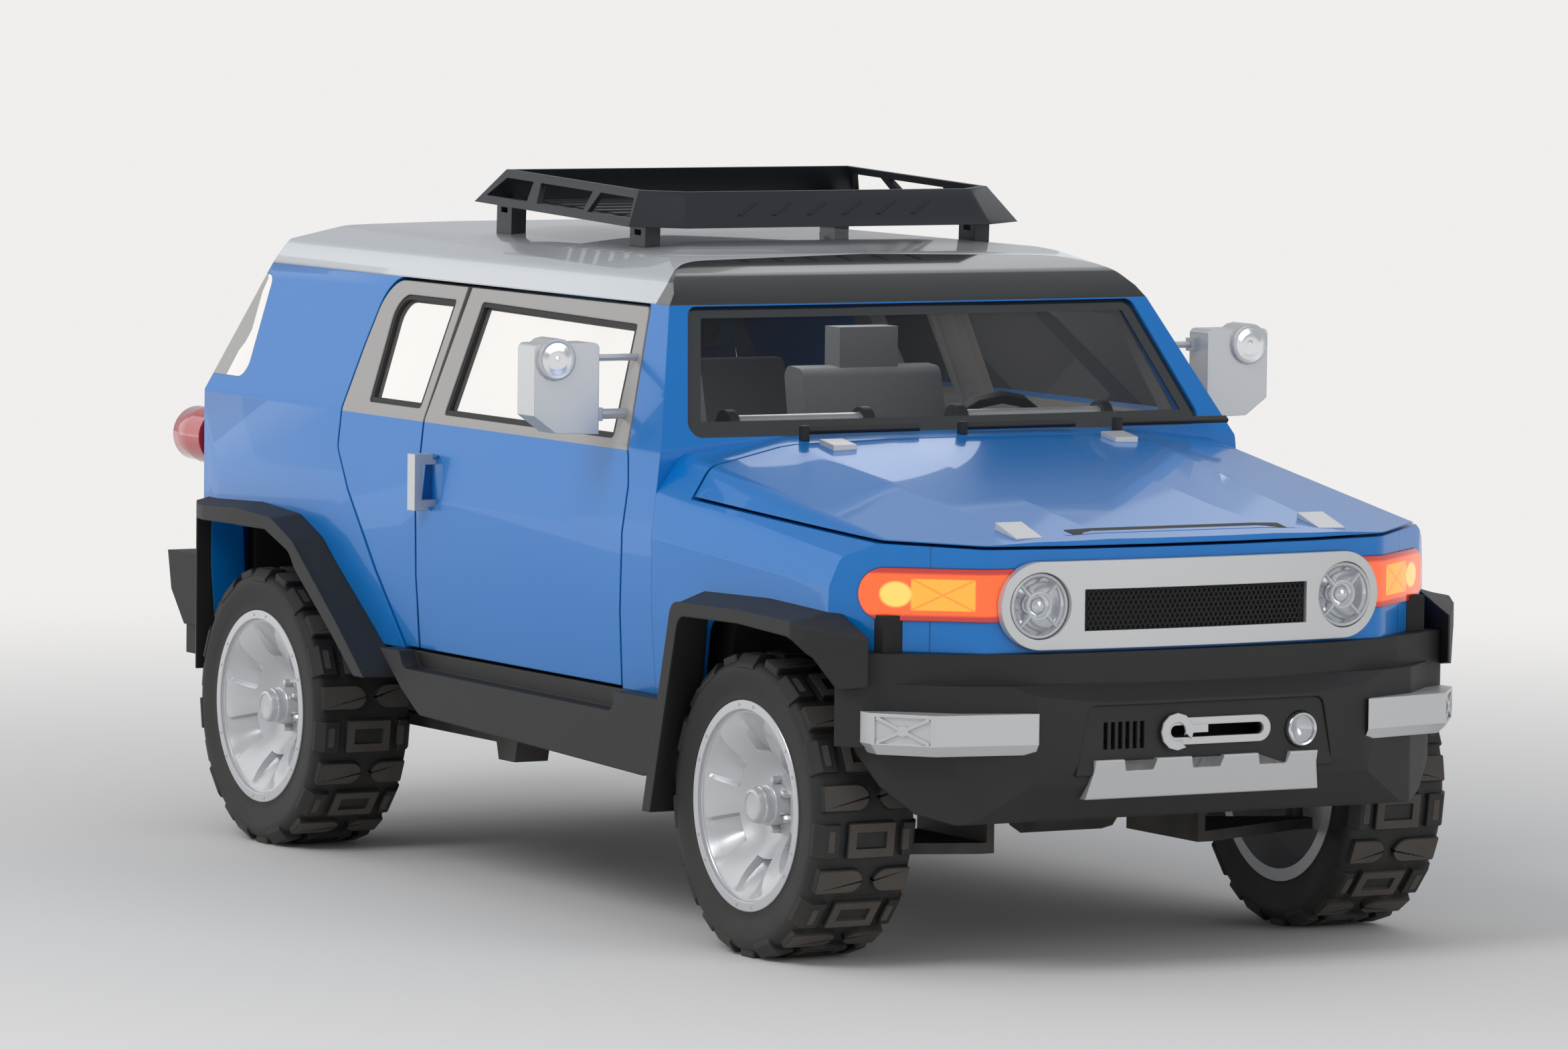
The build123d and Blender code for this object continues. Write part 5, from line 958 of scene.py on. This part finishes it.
def layStrip(bm, tree, start, end, halfWidth, lift, direction, across, steps):
    # Low strip between two points, dropped on a surface along a direction
    direction, across = Vector(direction), Vector(across)
    flat, sunk = halfWidth * stripSettings["flat"], stripSettings["sunk"]
    rings = []
    for k in range(steps + 1):
        middle = Vector(start).lerp(Vector(end), k / steps)
        ring = []
        for offset, height in ((-halfWidth, sunk), (-flat, lift), (flat, lift), (halfWidth, sunk)):
            origin = middle + across * offset
            hit = tree.ray_cast(origin, direction)[0] or origin
            ring.append(bm.verts.new(hit - direction * height))
        rings.append(ring)
    bridgeRings(bm, rings)
    bm.faces.new(rings[0])
    bm.faces.new(rings[-1])


# Painted shade: a thin black strip on the hood stands in for the shade inside the scoop's mouth
scoopShadeSettings = {"x": 1.934, "above": 2, "halfLength": 0.31, "halfWidth": 0.028, "lift": 0.0015, "steps": 24}


def makeScoopShade(settings):
    # Black strip of painted shade laid on the hood, across the front, where the dark mouth of the scoop lies
    bm = bmesh.new()
    x, half, above = settings["x"], settings["halfLength"], settings["above"]
    layStrip(bm, surfaceTree("hood"), (x, -half, above), (x, half, above), settings["halfWidth"],
             settings["lift"], (0, 0, -1), (1, 0, 0), settings["steps"])
    return newPiece("scoop_mouth", bm, ["blackRubber"])


rackSettings = {"ribs": 6, "spread": 0.105, "slant": 0.03, "low": 1.778, "high": 1.81, "halfWidth": 0.006,
                "ahead": 0.8, "lift": 0.003, "steps": 6}


def makeRackRibs(settings):
    # Slanted ribs pressed into the front of the rack
    tree = surfaceTree("roof_rack")
    bm = bmesh.new()
    for k in range(settings["ribs"]):
        y = (k - (settings["ribs"] - 1) / 2) * settings["spread"]
        low = (settings["ahead"], y - settings["slant"], settings["low"])
        high = (settings["ahead"], y + settings["slant"], settings["high"])
        layStrip(bm, tree, low, high, settings["halfWidth"], settings["lift"], (-1, 0, 0), (0, 1, 0),
                 settings["steps"])
    return newPiece("rack_ribs", bm, ["rackCoat"])


scoopShade = makeScoopShade(scoopShadeSettings)
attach(scoopShade, "hood")
rackRibs = makeRackRibs(rackSettings)
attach(rackRibs, "body")
print("scoop and rack ribs made")


# Skid plate with four raised steps under the sunk panel

skidSettings = {
    "half": 0.322,
    "flare": 0.016,
    "foot": 0.432,
    "step": 0.503,
    "top": 0.53,
    "gaps": [(-0.233, -0.155), (-0.039, 0.039), (0.155, 0.233)],
    "slope": 0.008,
    "x": 2.0988,
    "lean": 0.25,
    "thick": 0.05,
    "edge": 0.0025,
}


def makeSkid(settings):
    half, foot, step, top = (settings[key] for key in ("half", "foot", "step", "top"))
    slope, edge = settings["slope"], settings["edge"]
    outline = [(-half - settings["flare"], foot), (-half, step), (-half, top)]
    for left, right in settings["gaps"]:
        outline += [(left - slope, top), (left, step), (right, step), (right + slope, top)]
    outline += [(half, top), (half, step), (half + settings["flare"], foot)]
    bm = bmesh.new()
    middle = (foot + top) / 2
    rings = []
    for inset, depth in ((0.0, settings["thick"]), (0.0, edge), (edge, 0.0)):
        ring = []
        for y, z in outline:
            # The ends and the upper and lower edges draw in by the inset, and the plate leans back below
            shownY = y - math.copysign(inset, y) if abs(y) >= half - 0.001 else y
            shownZ = z - inset if z > middle else z + inset
            x = settings["x"] - (top - shownZ) * settings["lean"] - depth
            ring.append(bm.verts.new((x, shownY, shownZ)))
        rings.append(ring)
    bridgeRings(bm, rings)
    bm.faces.new(rings[0])
    bm.faces.new(rings[-1])
    bmesh.ops.triangulate(bm, faces=[face for face in bm.faces if len(face.verts) > 4])
    return newPiece("skid_steps", bm, ["satinSilver"], 20.0)


skid = makeSkid(skidSettings)
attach(skid, "body")


# Grille: honeycomb repeated over the opening and bowed with the nose

grilleSettings = {
    "radius": 0.0078,
    "bar": 0.0016,
    "depth": 0.004,
    "columns": 45,
    "rows": 8,
    "step": 1.79,
    "x": 2.0345,
    "low": 0.848,
    "bow": 0.1136,
}


def makeCellMesh(settings):
    # Open six-sided cell that looks forward
    bm = bmesh.new()
    outer, depth = settings["radius"], settings["depth"]
    inner = outer - settings["bar"]
    turns = [math.radians(60 * k) for k in range(6)]
    rings = []
    for radius, x in ((outer, 0.0), (outer, depth), (inner, depth), (inner, 0.0)):
        rings.append([bm.verts.new((x, radius * math.sin(turn), radius * math.cos(turn))) for turn in turns])
    bridgeRings(bm, rings)
    return newPiece("cell", bm, [], 10.0)


def makeGridTree():
    # Points in staggered rows on a bowed surface, with one object on each
    tree = bpy.data.node_groups.new("staggeredGrid", "GeometryNodeTree")
    for name, kind in (("Cell", "NodeSocketObject"), ("Material", "NodeSocketMaterial"),
                       ("Columns", "NodeSocketInt"), ("Rows", "NodeSocketInt"), ("Step", "NodeSocketFloat"),
                       ("X", "NodeSocketFloat"), ("Low", "NodeSocketFloat"), ("Bow", "NodeSocketFloat")):
        tree.interface.new_socket(name, in_out="INPUT", socket_type=kind)
    tree.interface.new_socket("Geometry", in_out="OUTPUT", socket_type="NodeSocketGeometry")
    start = tree.nodes.new("NodeGroupInput")
    end = tree.nodes.new("NodeGroupOutput")
    link = tree.links.new
    calc = functools.partial(mathNode, tree)
    inputs = start.outputs
    points = tree.nodes.new("GeometryNodePoints")
    link(calc("MULTIPLY", inputs["Columns"], inputs["Rows"]), points.inputs["Count"])
    index = tree.nodes.new("GeometryNodeInputIndex").outputs[0]
    row = calc("FLOOR", calc("DIVIDE", index, inputs["Columns"]))
    column = calc("MODULO", index, inputs["Columns"])
    # Every second row is shifted by half a step, and the rows lie closer than the columns
    shift = calc("MULTIPLY", calc("MODULO", row, 2.0), 0.5)
    middle = calc("MULTIPLY", calc("SUBTRACT", inputs["Columns"], 0.5), 0.5)
    centred = calc("SUBTRACT", calc("ADD", column, shift), middle)
    y = calc("MULTIPLY", centred, inputs["Step"])
    rise = calc("MULTIPLY", calc("MULTIPLY", row, inputs["Step"]), 0.866)
    z = calc("ADD", rise, inputs["Low"])
    bend = calc("MULTIPLY", calc("MULTIPLY", y, y), inputs["Bow"])
    x = calc("SUBTRACT", inputs["X"], bend)
    place = tree.nodes.new("ShaderNodeCombineXYZ")
    for socket, value in zip(("X", "Y", "Z"), (x, y, z)):
        link(value, place.inputs[socket])
    link(place.outputs[0], points.inputs["Position"])
    cell = tree.nodes.new("GeometryNodeObjectInfo")
    link(inputs["Cell"], cell.inputs["Object"])
    spread = tree.nodes.new("GeometryNodeInstanceOnPoints")
    link(points.outputs[0], spread.inputs["Points"])
    link(cell.outputs["Geometry"], spread.inputs["Instance"])
    real = tree.nodes.new("GeometryNodeRealizeInstances")
    link(spread.outputs[0], real.inputs[0])
    paint = tree.nodes.new("GeometryNodeSetMaterial")
    link(real.outputs[0], paint.inputs["Geometry"])
    link(inputs["Material"], paint.inputs["Material"])
    link(paint.outputs[0], end.inputs[0])
    return tree


def bakeTree(name, tree, values):
    # Runs a geometry tree on an empty mesh and keeps the result as a plain mesh
    holder = newObject(name + "_maker", bpy.data.meshes.new(name + "_maker"))
    modifier = holder.modifiers.new("tree", "NODES")
    modifier.node_group = tree
    sockets = {item.name: item.identifier for item in tree.interface.items_tree if item.in_out == "INPUT"}
    for key, value in values.items():
        modifier[sockets[key]] = value
    bpy.context.view_layer.update()
    depsgraph = bpy.context.evaluated_depsgraph_get()
    mesh = bpy.data.meshes.new_from_object(holder.evaluated_get(depsgraph), depsgraph=depsgraph)
    bpy.data.objects.remove(holder)
    return newObject(name, mesh)


def makeGrille(settings):
    cell = makeCellMesh(settings)
    values = {"Cell": cell, "Material": finishes["blackRubber"],
              "Columns": settings["columns"], "Rows": settings["rows"],
              "Step": settings["radius"] * settings["step"],
              "X": settings["x"], "Low": settings["low"], "Bow": settings["bow"]}
    piece = bakeTree("grille_cells", makeGridTree(), values)
    bpy.data.objects.remove(cell)
    return piece


grille = makeGrille(grilleSettings)
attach(grille, "body")
print("skid and grille made:", len(grille.data.polygons), "faces in the grille")


# Mirror lamps, and the tubes and round ends on the dash

mirrorLampSettings = {
    "place": (0.6445, 1.04, 1.439),
    "rim": [(0.052, -0.004), (0.052, 0.0), (0.048, 0.0015), (0.0425, 0.0), (0.042, -0.001)],
    "bowl": [(0.0425, 0.0), (0.03, 0.0012), (0.024, 0.0024), (0.014, 0.0012), (0.0, 0.003)],
    "segments": 40,
}


def makeMirrorLamp(name, side, settings):
    bm = bmesh.new()
    x, y, z = settings["place"]
    place = lampMatrix(x, side * y, z)
    lathe(bm, settings["rim"], settings["segments"], place, 0)
    lathe(bm, settings["bowl"], settings["segments"], place, 1)
    return newPiece(name, bm, ["satinSilver", "bowl"], 20.0)


dashSettings = {
    "x": 0.675,
    "z": 1.262,
    "radius": 0.026,
    "spans": [(-0.56, -0.16), (0.12, 0.56)],
    "ringInner": 0.018,
    "ringOuter": 0.041,
    "ringHalf": 0.014,
    "footInset": 0.05,
    "foot": [(0.018, 1.17), (0.012, 1.19), (0.012, 1.252)],
    "segments": 32,
    "footSegments": 20,
}


def makeDashTubes(settings):
    bm = bmesh.new()
    x, radius, half = settings["x"], settings["radius"], settings["ringHalf"]
    place = Matrix.Translation((x, 0, settings["z"]))
    for start, end in settings["spans"]:
        lathe(bm, [(radius, start), (radius, end)], settings["segments"], place, 0)
        for y in (start, end):
            ring = [(settings["ringInner"], y - half), (settings["ringOuter"], y - half),
                    (settings["ringOuter"], y + half), (settings["ringInner"], y + half)]
            lathe(bm, ring, settings["segments"], place, 1, capEnds=True)
        for y in (start + settings["footInset"], end - settings["footInset"]):
            foot = Matrix.Translation((x, y, 0)) @ Matrix.Rotation(math.radians(90), 4, "X")
            lathe(bm, settings["foot"], settings["footSegments"], foot, 1)
    return newPiece("dash_tubes", bm, ["satinSilver", "blackPlastic"], 40.0)


for side, sideName in ((1, "left"), (-1, "right")):
    mirrorLamp = makeMirrorLamp(f"mirror_lamp_{sideName}", side, mirrorLampSettings)
    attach(mirrorLamp, f"front_door_{sideName}")
dashTubes = makeDashTubes(dashSettings)
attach(dashTubes, "body")
print("mirror lamps and dash tubes made")
